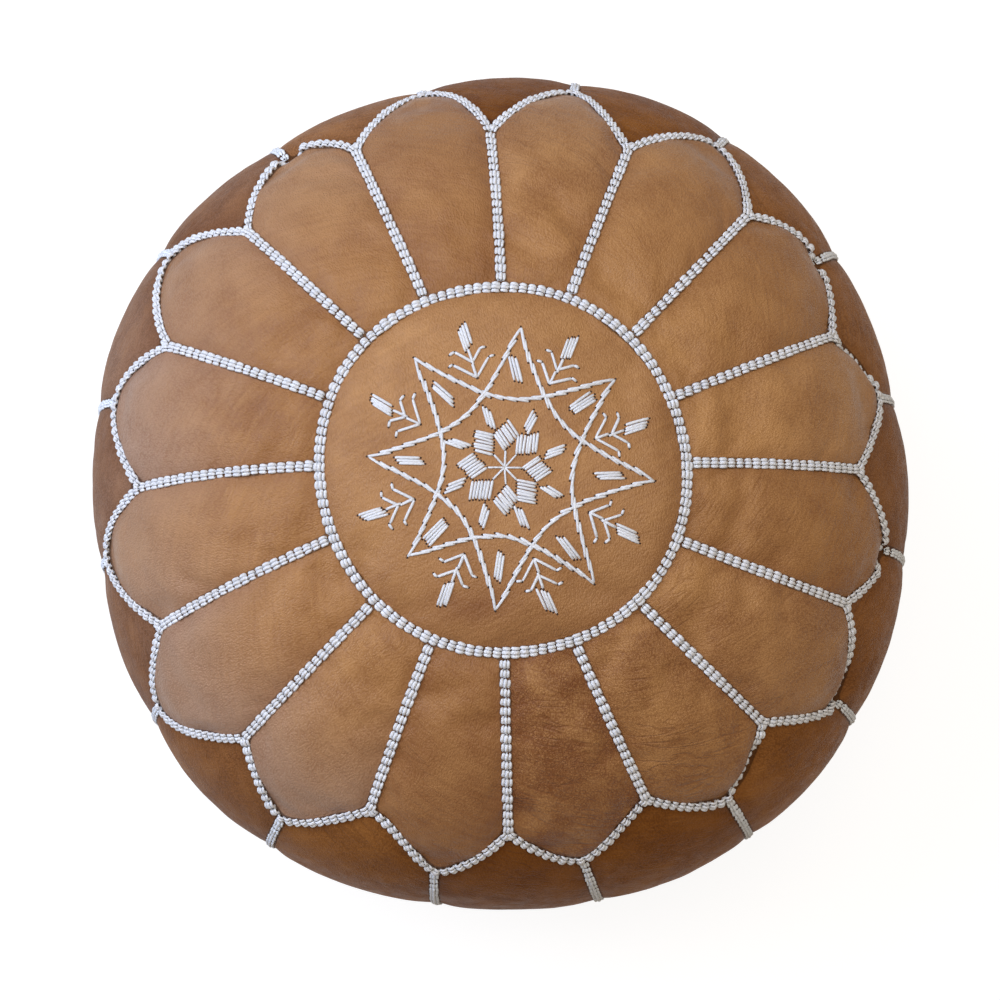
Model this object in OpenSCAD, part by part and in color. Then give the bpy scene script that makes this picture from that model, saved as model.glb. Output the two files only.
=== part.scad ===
// A round stuffed leather pouf. An embroidered medallion is ringed by petals, side panels run from
// the petals down to a base of two half discs, and a zip joins the halves so the filling can go in.
// Sizes are millimetres. The origin is on the floor under the middle, +Z is up, the zip lies along X.

/* [Overall] */
// Widest diameter, across the puffed side panels
overall_d = 540; // [500:5:580]
// Height from the floor to the middle of the top
overall_h = 330; // [300:5:360]
// Height of the widest line above the floor
waist_h = 165; // [150:5:180]
// Fullness of the crown, where 2 is an ellipse
crown_fullness = 2.3; // [2.1:0.1:2.6]
// Fullness of the sides below the waist
foot_fullness = 3; // [2.6:0.1:3.4]
// How far the lower curve would pass below the floor if the base were not flat
foot_depth = 15; // [12:1:20]

/* [Leather] */
// Thickness of the leather
leather_t = 1.5; // [1:0.1:2]
// How far a panel stands out between its seams
puff = 6; // [3:0.5:8]
// Length of leather from the middle of the top to the ring seam
medallion_len = 113; // [100:1:125]
// Length of a radial seam, from the ring seam to the point between two petals
petal_seam_len = 126; // [110:1:135]
// Length of a petal down its middle, from the ring seam to its tip
petal_len = 177; // [168:1:190]
// Roundness of a petal's tip, where 0 is a sharp point
tip_round = 0.3; // [0.1:0.05:0.6]
// Diameter of the base, at its seam with the side panels
base_d = 388; // [370:2:400]

/* [Seams] */
// Width of an embroidered seam braid
braid_w = 6.4; // [5:0.2:7]
// Height of a seam braid, through the leather and above it
braid_h = 4.4; // [3.8:0.2:4.6]
// How far the middle of a braid lies above the leather's face
braid_lift = 0.4; // [0.2:0.1:0.6]
// Gap between a braid and the leather on each side of it
seam_gap = 0.4; // [0.3:0.05:0.6]

/* [Embroidery] */
// Radius of the star's points
star_r = 85; // [75:1:92]
// Radius where a side of the star comes nearest to the middle
star_waist_r = 40; // [34:1:44]
// How gently a side of the star bends at its middle
star_bend = 24; // [12:1:40]
// Turn of the whole design, clockwise from the seams
design_turn = 5; // [0:1:20]
// Width of the star's line of paired stitches
stitch_w = 2.4; // [1.6:0.2:3]
// Height of the thread above the leather
thread_h = 1; // [0.6:0.1:1.4]

/* [Zip] */
// Height of the leather's lower face beside the zip, drawn up from the floor
zip_recess = 8; // [7:0.5:12]
// Half width of the flat leather hem beside the zip
hem_half_w = 16; // [15:1:20]
// Half width of the hollow that the zip is drawn up into
hollow_half_w = 48; // [40:1:60]
// Half width of the slot between the two hems
slot_half_w = 8; // [7.5:0.25:9]
// Width of one tape, from its toothed edge
tape_w = 12; // [10:1:14]
// Thickness of the tape
tape_t = 0.7; // [0.5:0.1:0.9]
// Distance from one tooth to the next on one side
tooth_pitch = 4; // [3.6:0.2:5]
// Reach of a tooth past the middle of the zip
tooth_reach = 0.9; // [0.5:0.1:1.2]
// Height of a tooth
tooth_h = 2.4; // [2:0.2:2.8]
// Half length of the toothed part
chain_half_len = 160; // [120:4:164]
// Length of the slider
slider_len = 15; // [13:1:18]
// Width of the slider
slider_w = 12; // [11:0.5:13]
// Thickness of each slider plate
slider_plate_t = 1.1; // [0.9:0.1:1.3]
// Diameter of the pin that the pull swings on
pin_d = 2; // [1.6:0.2:2.2]
// Length of the pull from its pin to its far end
pull_len = 27; // [22:1:32]
// Width of the pull
pull_w = 8; // [7:0.5:9]
// Thickness of the pull
pull_t = 1.8; // [1.4:0.2:2]

/* [Filling] */
// Thickness of the cotton bag round the filling
bag_t = 1; // [0.6:0.1:1.4]

/* [Hidden] */
// Clearances: between the filling's layers and the leather, between moving zip parts, on the pin
// and under the pull's tip, and the lift of the thread and of the tape from the leather under them
fill_gap = 1.4;
run_gap = 0.3;
pin_gap = 0.06;
floor_gap = 0.3;
thread_gap = 0.1;
tape_gap = 0.15;

// The leather's outline from the middle of the top, over the waist and down to the floor
waist_r = overall_d / 2 - puff;
crown_h = overall_h - waist_h;
foot_h = waist_h + foot_depth;
floor_angle = asin(pow(waist_h / foot_h, foot_fullness / 2));
outline_steps = 160;
function crown_point(a) = [
    waist_r * pow(cos(a), 2 / crown_fullness),
    waist_h + crown_h * pow(sin(a), 2 / crown_fullness)
];
function foot_point(a) = [
    waist_r * pow(cos(a), 2 / foot_fullness),
    waist_h - foot_h * pow(sin(a), 2 / foot_fullness)
];
crown_points = [for (i = [0:outline_steps]) crown_point(90 * (1 - i / outline_steps))];
foot_points = [for (i = [1:outline_steps]) foot_point(floor_angle * i / outline_steps)];
outline = concat(crown_points, foot_points);
floor_r = outline[len(outline) - 1][0];

// Distance along the leather to each point of the outline, and tables read by that distance
function running_sum(steps, i = 0, total = 0) =
    i > len(steps) ? [] : concat([total], running_sum(steps, i + 1, total + (i < len(steps) ? steps[i] : 0)));
outline_s = running_sum([for (i = [1:len(outline) - 1]) norm(outline[i] - outline[i - 1])]);
table_r = [for (i = [0:len(outline) - 1]) [outline_s[i], outline[i][0]]];
table_z = [for (i = [0:len(outline) - 1]) [outline_s[i], outline[i][1]]];
foot_s_by_r = [for (i = [outline_steps:len(outline) - 1]) [-outline[i][0], outline_s[i]]];
foot_z_by_r = [for (i = [len(outline) - 1:-1:outline_steps]) [outline[i][0], outline[i][1]]];

function r_at(s) = lookup(s, table_r);
function z_at(s) = lookup(s, table_z);
normal_step = 1;
function normal_at(s) = s <= 0 ? [0, 1] :
    let (dr = r_at(s + normal_step) - r_at(max(s - normal_step, 0)))
    let (dz = z_at(s + normal_step) - z_at(max(s - normal_step, 0)))
    [-dz, dr] / norm([dr, dz]);
// A point in the plane of the outline, lifted off the leather's face
function flat_point(s, lift) = [r_at(s), z_at(s)] + lift * normal_at(s);
// A point of the pouf: s along the leather, a round the axis, lifted off the leather's face
function pouf_point(s, a, lift) =
    let (p = flat_point(s, lift))
    [p[0] * cos(a), p[0] * sin(a), p[1]];

// Where the seams run. There are as many side panels as petals.
panel_count = 16;
panel_angle = 360 / panel_count;
half_panel = panel_angle / 2;
ring_s = medallion_len;
valley_s = ring_s + petal_seam_len;
tip_s = ring_s + petal_len;
base_s = lookup(-base_d / 2, foot_s_by_r);
half_gap = braid_w / 2 + seam_gap;
function rounded_v(t) = (sqrt(t * t + tip_round * tip_round) - tip_round)
    / (sqrt(1 + tip_round * tip_round) - tip_round);
// Edge of a petal at an angle from the petal's middle, and the inset that keeps a braid's room there
function petal_edge_s(a) = tip_s - (tip_s - valley_s) * rounded_v(abs(a) / half_panel);
edge_step = 0.2;
function petal_edge_slope(a) =
    let (b = min(abs(a), half_panel - edge_step))
    let (rise = petal_edge_s(b + edge_step) - petal_edge_s(b - edge_step))
    rise / (r_at(petal_edge_s(b)) * 2 * edge_step * PI / 180);
function edge_inset(a) = half_gap * sqrt(1 + pow(petal_edge_slope(a), 2));
// Angle taken up by a length round the pouf at distance s
function angle_of(length, s) = length / r_at(s) * 180 / PI;
function mix(a, b, t) = a + (b - a) * t;
// Puff of a panel, from nothing at its edges to all of it inside: v across and u along, -1 to 1
function puff_at(u, v) = puff * (1 - pow(v, 4)) * (1 - pow(u, 6));

// Places across a panel, -1 to 1, crowded where the petals' rounded tips need them
half_cols = 3;
col_crowding = 1.5;
places = [for (i = [-half_cols:half_cols]) i / half_cols];
petal_places = [for (v = places) sign(v) * pow(abs(v), col_crowding)];
side_places = [for (v = places) sign(v) * (1 - pow(1 - abs(v), col_crowding))];

// A closed shell between two grids of points of the same size
module grid_shell(outer, inner) {
    rows = len(outer);
    cols = len(outer[0]);
    n = rows * cols;
    points = concat([for (row = outer) each row], [for (row = inner) each row]);
    function at(i, j) = i * cols + j;
    faces = concat(
        [for (i = [0:rows - 2], j = [0:cols - 2]) [at(i, j), at(i, j + 1), at(i + 1, j + 1)]],
        [for (i = [0:rows - 2], j = [0:cols - 2]) [at(i, j), at(i + 1, j + 1), at(i + 1, j)]],
        [for (i = [0:rows - 2], j = [0:cols - 2]) [n + at(i, j), n + at(i + 1, j + 1), n + at(i, j + 1)]],
        [for (i = [0:rows - 2], j = [0:cols - 2]) [n + at(i, j), n + at(i + 1, j), n + at(i + 1, j + 1)]],
        [for (i = [0:rows - 2], j = [0, cols - 1]) edge_triangle(at(i, j), at(i + 1, j), n, j == 0, 0)],
        [for (i = [0:rows - 2], j = [0, cols - 1]) edge_triangle(at(i, j), at(i + 1, j), n, j == 0, 1)],
        [for (i = [0, rows - 1], j = [0:cols - 2]) edge_triangle(at(i, j), at(i, j + 1), n, i > 0, 0)],
        [for (i = [0, rows - 1], j = [0:cols - 2]) edge_triangle(at(i, j), at(i, j + 1), n, i > 0, 1)]
    );
    polyhedron(points, faces, convexity = 4);
}
// One of the two triangles that close the wall from p to q, turned the other way if asked
function edge_triangle(p, q, n, flip, second) =
    let (face = second == 0 ? [p, n + p, n + q] : [p, n + q, q])
    flip ? [face[0], face[2], face[1]] : face;

// A tube along points, with a flattened six-sided section across each point's surface normal
braid_sides = 6;
module braid_tube(points, normals) {
    last = len(points) - 1;
    rings = [for (i = [0:last])
        let (ahead = points[min(i + 1, last)] - points[max(i - 1, 0)])
        let (across = cross(ahead, normals[i]))
        let (side = across / norm(across))
        [for (k = [0:braid_sides - 1])
            let (a = 360 * k / braid_sides)
            points[i] + side * (braid_w / 2 * cos(a)) + normals[i] * (braid_h / 2 * sin(a))]];
    grid = [for (ring = rings) each ring];
    function at(i, k) = i * braid_sides + (k % braid_sides);
    faces = concat(
        [for (i = [0:last - 1], k = [0:braid_sides - 1]) [at(i, k), at(i + 1, k), at(i + 1, k + 1)]],
        [for (i = [0:last - 1], k = [0:braid_sides - 1]) [at(i, k), at(i + 1, k + 1), at(i, k + 1)]],
        [for (k = [1:braid_sides - 2]) [at(0, 0), at(0, k), at(0, k + 1)]],
        [for (k = [1:braid_sides - 2]) [at(last, 0), at(last, k + 1), at(last, k)]]
    );
    polyhedron(grid, faces, convexity = 4);
}
// The same section revolved about the axis at distance s
module braid_ring(s) {
    middle = flat_point(s, braid_lift);
    normal = normal_at(s);
    side = [normal[1], -normal[0]];
    rotate_extrude($fn = 96)
        polygon([for (k = [0:braid_sides - 1])
            let (a = 360 * k / braid_sides)
            middle + side * (braid_w / 2 * cos(a)) + normal * (braid_h / 2 * sin(a))]);
}
// A braid along a list of [s, angle] pairs on the leather
module surface_braid(path) {
    points = [for (p = path) pouf_point(p[0], p[1], braid_lift)];
    normals = [for (p = path) pouf_point(p[0], p[1], braid_lift + 1) - pouf_point(p[0], p[1], braid_lift)];
    braid_tube(points, normals);
}

// The leather cover
medallion_rows = 6;
medallion_end_s = ring_s - half_gap;
function band(from_s, to_s, low, high, rows) = concat(
    [for (i = [0:rows]) flat_point(mix(from_s, to_s, i / rows), high)],
    [for (i = [rows:-1:0]) flat_point(mix(from_s, to_s, i / rows), low)]
);
module revolved_band(to_s, low, high, rows) {
    rotate_extrude($fn = 96)
        polygon(band(0, to_s, low, high, rows));
}
module top_medallion() {
    color("peru") revolved_band(medallion_end_s, -leather_t, 0, medallion_rows);
}

petal_rows = 6;
module petal(k) {
    middle = (k - 0.5) * panel_angle;
    corner = half_panel - angle_of(half_gap, valley_s);
    function s_of(u, v) = mix(ring_s + half_gap, petal_edge_s(v * corner) - edge_inset(v * corner), u);
    function point(u, v, face) =
        let (s = s_of(u, v))
        let (a = v * (half_panel - angle_of(half_gap, s)))
        pouf_point(s, middle + a, puff_at(2 * u - 1, v) - face * leather_t);
    function grid(face) = [for (i = [0:petal_rows]) [for (v = petal_places) point(i / petal_rows, v, face)]];
    color("peru") grid_shell(grid(0), grid(1));
}

side_rows = 9;
module side_panel(k) {
    middle = (k - 1) * panel_angle;
    function from_petal(v) = half_panel - abs(v) * (half_panel - angle_of(half_gap, tip_s));
    function top_s(v) = petal_edge_s(from_petal(v)) + edge_inset(from_petal(v));
    function point(u, v, face) =
        let (s = mix(top_s(v), base_s - half_gap, u))
        let (a = v * (half_panel - angle_of(half_gap, s)))
        pouf_point(s, middle + a, puff_at(2 * u - 1, v) - face * leather_t);
    function grid(face) = [for (i = [0:side_rows]) [for (v = side_places) point(i / side_rows, v, face)]];
    color("sienna") grid_shell(grid(0), grid(1));
}

// Base halves: flat on the floor, curved up at the rim, and drawn up beside the zip
base_rows = 8;
base_cols = 14;
base_end_angle = 6;
base_row_crowding = 1.4;
base_rim_r = r_at(base_s + half_gap);
function smooth(t) =
    let (c = max(0, min(1, t)))
    c * c * (3 - 2 * c);
function rim_z(r) = r <= floor_r ? 0 : lookup(r, foot_z_by_r);
function base_z(x, y) =
    let (low = rim_z(norm([x, y])))
    let (drawn = 1 - smooth((y - hem_half_w) / (hollow_half_w - hem_half_w)))
    low + max(0, zip_recess - low) * drawn;
module base_half(side) {
    function point(i, j, face) =
        let (a = mix(180 - base_end_angle, base_end_angle, j / base_cols))
        let (x = base_rim_r * cos(a))
        let (y = mix(slot_half_w, base_rim_r * sin(a), pow(i / base_rows, base_row_crowding)))
        [side * x, side * y, base_z(x, y) + face * leather_t];
    function grid(face) = [for (i = [0:base_rows]) [for (j = [0:base_cols]) point(i, j, face)]];
    color("tan") grid_shell(grid(0), grid(1));
}
module base_half_front() {
    base_half(-1);
}
module base_half_back() {
    base_half(1);
}

// The embroidered seams
module ring_seam() {
    color("white") braid_ring(ring_s);
}
module base_seam() {
    color("white") braid_ring(base_s);
}
radial_rings = 7;
module petal_seams() {
    color("white")
        for (k = [0:panel_count - 1])
            surface_braid([for (i = [0:radial_rings - 1])
                [mix(ring_s + half_gap, valley_s, i / (radial_rings - 1)), k * panel_angle]]);
}
// A petal's edge braid stops short of the point where it would meet the next petal's braid
edge_stop = 2.9;
edge_end = half_panel - angle_of(edge_stop, valley_s);
module petal_edge_seams() {
    color("white")
        for (k = [0:panel_count - 1])
            surface_braid([for (v = petal_places)
                let (a = v * edge_end)
                [petal_edge_s(a), (k + 0.5) * panel_angle + a]]);
}
side_rings = 12;
module side_seams() {
    color("white")
        for (k = [0:panel_count - 1])
            surface_braid([for (i = [0:side_rings - 1])
                [mix(tip_s + half_gap, base_s - half_gap, i / (side_rings - 1)), (k + 0.5) * panel_angle]]);
}

// Flat outlines of the medallion's design, drawn for one eighth and repeated
point_count = 8;
step_angle = 360 / point_count;
first_point = 90 - design_turn;
side_rise = star_r * cos(step_angle) - star_waist_r;
side_half = star_r * sin(step_angle);
function star_side_x(y) = star_waist_r + side_rise
    * (sqrt(y * y + star_bend * star_bend) - star_bend)
    / (sqrt(side_half * side_half + star_bend * star_bend) - star_bend);
star_side_steps = 10;
module line(from, to, width) {
    along = to - from;
    translate(from)
        rotate(atan2(along[1], along[0]))
            translate([0, -width / 2])
                square([norm(along), width]);
}
module diamond(middle_r, length, width) {
    polygon([
        [middle_r - length / 2, 0],
        [middle_r, -width / 2],
        [middle_r + length / 2, 0],
        [middle_r, width / 2]
    ]);
}
module star_outline() {
    ys = [for (i = [-star_side_steps:star_side_steps]) side_half * i / star_side_steps];
    for (k = [0:point_count - 1])
        rotate(first_point + (k + 1) * step_angle)
            polygon(concat(
                [for (y = ys) [star_side_x(y) - stitch_w / 2, y]],
                [for (i = [len(ys) - 1:-1:0]) [star_side_x(ys[i]) + stitch_w / 2, ys[i]]]
            ));
}
// The rosette: spokes and large diamonds round the middle, with small diamonds outside them
spoke_len = 10;
spoke_w = 1.4;
petal_diamond = [20.5, 19, 14];
small_diamond = [33.5, 12, 6];
point_diamond = [61, 16, 5];
module rosette_outline() {
    for (k = [0:point_count - 1])
        rotate(first_point + k * step_angle) {
            line([0, 0], [spoke_len, 0], spoke_w);
            diamond(petal_diamond[0], petal_diamond[1], petal_diamond[2]);
            diamond(point_diamond[0], point_diamond[1], point_diamond[2]);
            rotate(step_angle / 2)
                diamond(small_diamond[0], small_diamond[1], small_diamond[2]);
        }
}
// A sprig: a stem with two pairs of arms and a diamond at its end
sprig_from = 59;
sprig_fork = 70;
sprig_to = 80;
sprig_w = 1.2;
sprig_arm = [11, 12];
sprig_diamond = [86.5, 15, 6];
module sprig_outline() {
    for (k = [0:point_count - 1])
        rotate(first_point + (k + 0.5) * step_angle) {
            line([sprig_from, 0], [sprig_to, 0], sprig_w);
            for (start = [sprig_from, sprig_fork], side = [-1, 1])
                line([start, 0], [start + sprig_arm[0], side * sprig_arm[1]], sprig_w);
            diamond(sprig_diamond[0], sprig_diamond[1], sprig_diamond[2]);
        }
}
// Thread worked over the crown of the medallion, from a flat outline
module worked_thread() {
    color("white")
        intersection() {
            revolved_band(medallion_end_s, thread_gap, thread_gap + thread_h, medallion_rows);
            translate([0, 0, waist_h])
                linear_extrude(overall_h)
                    children();
        }
}
module star_embroidery() {
    worked_thread() star_outline();
}
module rosette_embroidery() {
    worked_thread() rosette_outline();
}
module sprig_embroidery() {
    worked_thread() sprig_outline();
}

// The zip
zip_z = zip_recess + leather_t + tape_gap + tape_t / 2;
chain_half_w = 3.6;
bead_w = 1.6;
bead_gap = 0.1;
// The tape ends where the rim of the base has risen as high as the hem
foot_r_by_z = [for (i = [len(outline) - 1:-1:outline_steps]) [outline[i][1], outline[i][0]]];
tape_half_len = sqrt(pow(lookup(zip_recess, foot_r_by_z), 2) - pow(chain_half_w + tape_w, 2)) - 1;
module zip_tape(side) {
    low_y = side > 0 ? chain_half_w + bead_gap : -chain_half_w - tape_w;
    color("saddlebrown")
        translate([-tape_half_len, low_y, zip_z - tape_t / 2])
            cube([2 * tape_half_len, tape_w - bead_gap, tape_t]);
}
module zip_tape_front() {
    zip_tape(-1);
}
module zip_tape_back() {
    zip_tape(1);
}
// A row of teeth on its bead; the two rows are half a pitch apart, so they interlock
tooth_share = 0.42;
tooth_count = floor(2 * chain_half_len / tooth_pitch);
module zip_teeth(side) {
    tooth_len = tooth_pitch * tooth_share;
    color("goldenrod") {
        translate([-chain_half_len, side > 0 ? chain_half_w - bead_w : -chain_half_w, zip_z - tooth_h / 2])
            cube([2 * chain_half_len, bead_w, tooth_h]);
        for (i = [0:tooth_count - 1])
            translate([
                -chain_half_len + (i + (side > 0 ? 0 : 0.5)) * tooth_pitch,
                side > 0 ? -tooth_reach : bead_w - chain_half_w,
                zip_z - tooth_h / 2
            ])
                cube([tooth_len, chain_half_w - bead_w + tooth_reach, tooth_h]);
    }
}
module zip_teeth_front() {
    zip_teeth(-1);
}
module zip_teeth_back() {
    zip_teeth(1);
}
// The slider rests at the closed end: plates above and below the chain, with lips that leave a slit
// for the tape, a divider past the last teeth, and two lugs with the pull's pin between them
divider_len = 4;
slider_x = chain_half_len - slider_len / 2 + divider_len;
divider_w = 3;
lug_t = 1.4;
lug_len = 5;
plate_gap = tooth_h / 2 + run_gap;
slider_half_h = plate_gap + slider_plate_t;
lip_w = 1;
lip_h = plate_gap - tape_t / 2 - run_gap;
eye_wall = 1.2;
eye_d = pin_d + 2 * eye_wall;
pin_z = zip_z - slider_half_h - run_gap - eye_d / 2;
neck_half_w = 2.4;
lug_y = neck_half_w + run_gap;
module slider_plate(side) {
    translate([-slider_len / 2, -slider_w / 2, side > 0 ? plate_gap : -slider_half_h])
        cube([slider_len, slider_w, slider_plate_t]);
    for (edge = [-1, 1])
        translate([
            -slider_len / 2,
            edge > 0 ? slider_w / 2 - lip_w : -slider_w / 2,
            side > 0 ? plate_gap - lip_h : -plate_gap
        ])
            cube([slider_len, lip_w, lip_h]);
}
module zip_slider() {
    color("goldenrod")
        union() {
            translate([slider_x, 0, zip_z]) {
                slider_plate(1);
                slider_plate(-1);
                translate([slider_len / 2 - divider_len + run_gap, -divider_w / 2, -plate_gap])
                    cube([divider_len - run_gap, divider_w, 2 * plate_gap]);
            }
            for (edge = [-1, 1])
                translate([slider_x, edge * (lug_y + lug_t / 2), 0])
                    lug();
            translate([slider_x, 0, pin_z])
                rotate([90, 0, 0])
                    cylinder(h = 2 * lug_y + lug_t, d = pin_d, center = true, $fn = 32);
        }
}
module lug() {
    translate([-lug_len / 2, -lug_t / 2, pin_z])
        cube([lug_len, lug_t, zip_z - slider_half_h - pin_z]);
    translate([0, 0, pin_z])
        rotate([90, 0, 0])
            cylinder(h = lug_t, d = lug_len, center = true, $fn = 32);
}
// The pull hangs from the pin with its tip just clear of the floor
pull_drop = asin((pin_z - pull_t / 2 - floor_gap) / pull_len);
hole_d = 4;
module zip_pull() {
    color("goldenrod")
        translate([slider_x, 0, pin_z])
            rotate([0, -pull_drop, 0])
                difference() {
                    union() {
                        rotate([90, 0, 0])
                            cylinder(h = 2 * neck_half_w, d = eye_d, center = true, $fn = 32);
                        translate([-pull_len / 2, -neck_half_w, -pull_t / 2])
                            cube([pull_len / 2, 2 * neck_half_w, pull_t]);
                        translate([-pull_len + pull_w / 2, -pull_w / 2, -pull_t / 2])
                            cube([pull_len / 2 - pull_w / 4, pull_w, pull_t]);
                        translate([-pull_len + pull_w / 2, 0, 0])
                            cylinder(h = pull_t, d = pull_w, center = true, $fn = 48);
                    }
                    rotate([90, 0, 0])
                        cylinder(h = pull_w, d = pin_d + 2 * pin_gap, center = true, $fn = 32);
                    translate([-pull_len + pull_w / 2, 0, 0])
                        cylinder(h = 2 * pull_t, d = hole_d, center = true, $fn = 32);
                }
}
// A stop on each tape at the closed end, and one across both at the other
stop_len = 3;
module zip_stops() {
    closed_x = slider_x + slider_len / 2 + run_gap;
    color("goldenrod") {
        for (side = [-1, 1])
            translate([closed_x, side > 0 ? run_gap : -chain_half_w, zip_z - tooth_h / 2])
                cube([stop_len, chain_half_w - run_gap, tooth_h]);
        translate([-chain_half_len - run_gap - stop_len, -chain_half_w, zip_z - tooth_h / 2])
            cube([stop_len, 2 * chain_half_w, tooth_h]);
    }
}

// The filling in its cotton bag, with a groove over the zip
fill_rows = 36;
// How far the lower corner of the filling is drawn in from the edge of the flat base
corner_ease = 12;
groove_top = zip_z + slider_half_h + run_gap;
module stuffed_form(depth) {
    side = [for (i = [0:fill_rows]) flat_point(base_s * i / fill_rows, -depth)];
    foot_half_w = hollow_half_w + zip_recess + depth;
    top_half_w = hem_half_w + depth;
    groove_h = groove_top + depth;
    difference() {
        rotate_extrude($fn = 96)
            polygon(concat(side, [[floor_r - corner_ease, depth], [0, depth]]));
        rotate([90, 0, 90])
            linear_extrude(overall_d, center = true)
                polygon([
                    [-foot_half_w, 0],
                    [-top_half_w, groove_h],
                    [top_half_w, groove_h],
                    [foot_half_w, 0]
                ]);
    }
}
bag_depth = leather_t + fill_gap;
module inner_bag() {
    color("linen")
        difference() {
            stuffed_form(bag_depth);
            stuffed_form(bag_depth + bag_t);
        }
}
module filling() {
    color("ivory") stuffed_form(bag_depth + bag_t + run_gap);
}

function two_digits(k) = str(k < 10 ? "0" : "", k);
function petal_name(k) = str("petal_", two_digits(k));
function side_name(k) = str("side_panel_", two_digits(k));
top_medallion();
base_half_front();
base_half_back();
for (k = [1:panel_count]) petal(k);
for (k = [1:panel_count]) side_panel(k);
ring_seam();
petal_seams();
petal_edge_seams();
side_seams();
base_seam();
star_embroidery();
rosette_embroidery();
sprig_embroidery();
zip_tape_front();
zip_tape_back();
zip_teeth_front();
zip_teeth_back();
zip_slider();
zip_pull();
zip_stops();
inner_bag();
filling();
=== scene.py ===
import math

import bpy
import numpy as np
from mathutils import Matrix, Vector, noise
from mathutils.bvhtree import BVHTree


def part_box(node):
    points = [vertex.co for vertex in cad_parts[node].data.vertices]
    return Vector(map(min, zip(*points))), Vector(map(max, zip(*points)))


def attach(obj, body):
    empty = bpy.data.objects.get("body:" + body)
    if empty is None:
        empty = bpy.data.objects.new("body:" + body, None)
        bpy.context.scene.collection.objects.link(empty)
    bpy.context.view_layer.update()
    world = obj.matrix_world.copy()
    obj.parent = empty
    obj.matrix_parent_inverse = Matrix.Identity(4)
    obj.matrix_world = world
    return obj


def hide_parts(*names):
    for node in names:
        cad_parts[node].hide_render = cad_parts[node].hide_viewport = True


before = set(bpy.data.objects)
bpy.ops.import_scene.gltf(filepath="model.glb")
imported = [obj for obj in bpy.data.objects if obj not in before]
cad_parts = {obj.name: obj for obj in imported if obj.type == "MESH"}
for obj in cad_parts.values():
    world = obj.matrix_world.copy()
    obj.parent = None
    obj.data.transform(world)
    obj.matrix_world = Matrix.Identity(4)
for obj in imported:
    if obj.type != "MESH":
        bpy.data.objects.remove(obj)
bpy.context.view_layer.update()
scene = bpy.context.scene
mm = 0.001
print("frame loaded:", len(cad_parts), "nodes")

# Camera: high over the pouf, a touch to its front left, as the pouf was photographed
camera = {
    "aim": (0.0, -3.6 * mm, 165 * mm),
    "distance": 1.9,
    "azimuth": -8.0,
    "elevation": 84.4,
    "roll": -1.0,
    "lens": 104.4,  # millimetres, as the sensor is
    "sensor": 36,
}


def placeCamera():
    az, el, roll = (math.radians(camera[name]) for name in ("azimuth", "elevation", "roll"))
    back = Vector((math.sin(az) * math.cos(el), -math.cos(az) * math.cos(el), math.sin(el)))
    up = Vector((0, 1, 0))
    up = (up - up.dot(back) * back).normalized()
    right = up.cross(back)
    turned = Matrix((right, up, back)).transposed() @ Matrix.Rotation(roll, 3, "Z")
    made = bpy.data.objects.new("camera", bpy.data.cameras.new("camera"))
    made.data.lens = camera["lens"]
    made.data.sensor_width = camera["sensor"]
    stand = Vector(camera["aim"]) + back * camera["distance"]
    made.matrix_world = Matrix.Translation(stand) @ turned.to_4x4()
    scene.collection.objects.link(made)
    scene.camera = made


placeCamera()
print("camera placed")


# Colours are written as sRGB hex and turned to linear here
def linear(hexColour):
    parts = [int(hexColour[i:i + 2], 16) / 255 for i in (1, 3, 5)]
    return tuple(c / 12.92 if c <= 0.04045 else ((c + 0.055) / 1.055) ** 2.4 for c in parts) + (1.0,)


# Adds a node: settings are its properties, inputs are values, or sockets or nodes to link
def add(tree, kind, inputs=None, **settings):
    made = tree.nodes.new(kind)
    for name, value in settings.items():
        setattr(made, name, value)
    for key, value in (inputs or {}).items():
        if isinstance(value, bpy.types.Node):
            value = next(socket for socket in value.outputs if socket.enabled)
        if isinstance(value, bpy.types.NodeSocket):
            tree.links.new(value, made.inputs[key])
        else:
            made.inputs[key].default_value = value
    return made


def newMaterial(name):
    material = bpy.data.materials.new(name)
    material.use_nodes = True
    tree = material.node_tree
    tree.nodes.clear()
    return material, tree


def finishMaterial(tree, surface):
    shader = add(tree, "ShaderNodeBsdfPrincipled", surface)
    add(tree, "ShaderNodeOutputMaterial", {"Surface": shader})


# Ends a material whose pattern runs between two colours and whose relief catches the light
def finishPattern(tree, pattern, first, second, relief, surface):
    colour = add(tree, "ShaderNodeMix", {"Factor": pattern, 6: linear(first), 7: linear(second)},
                 data_type="RGBA")
    bump = add(tree, "ShaderNodeBump", relief)
    finishMaterial(tree, {"Base Color": colour, "Normal": bump, **surface})


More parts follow.
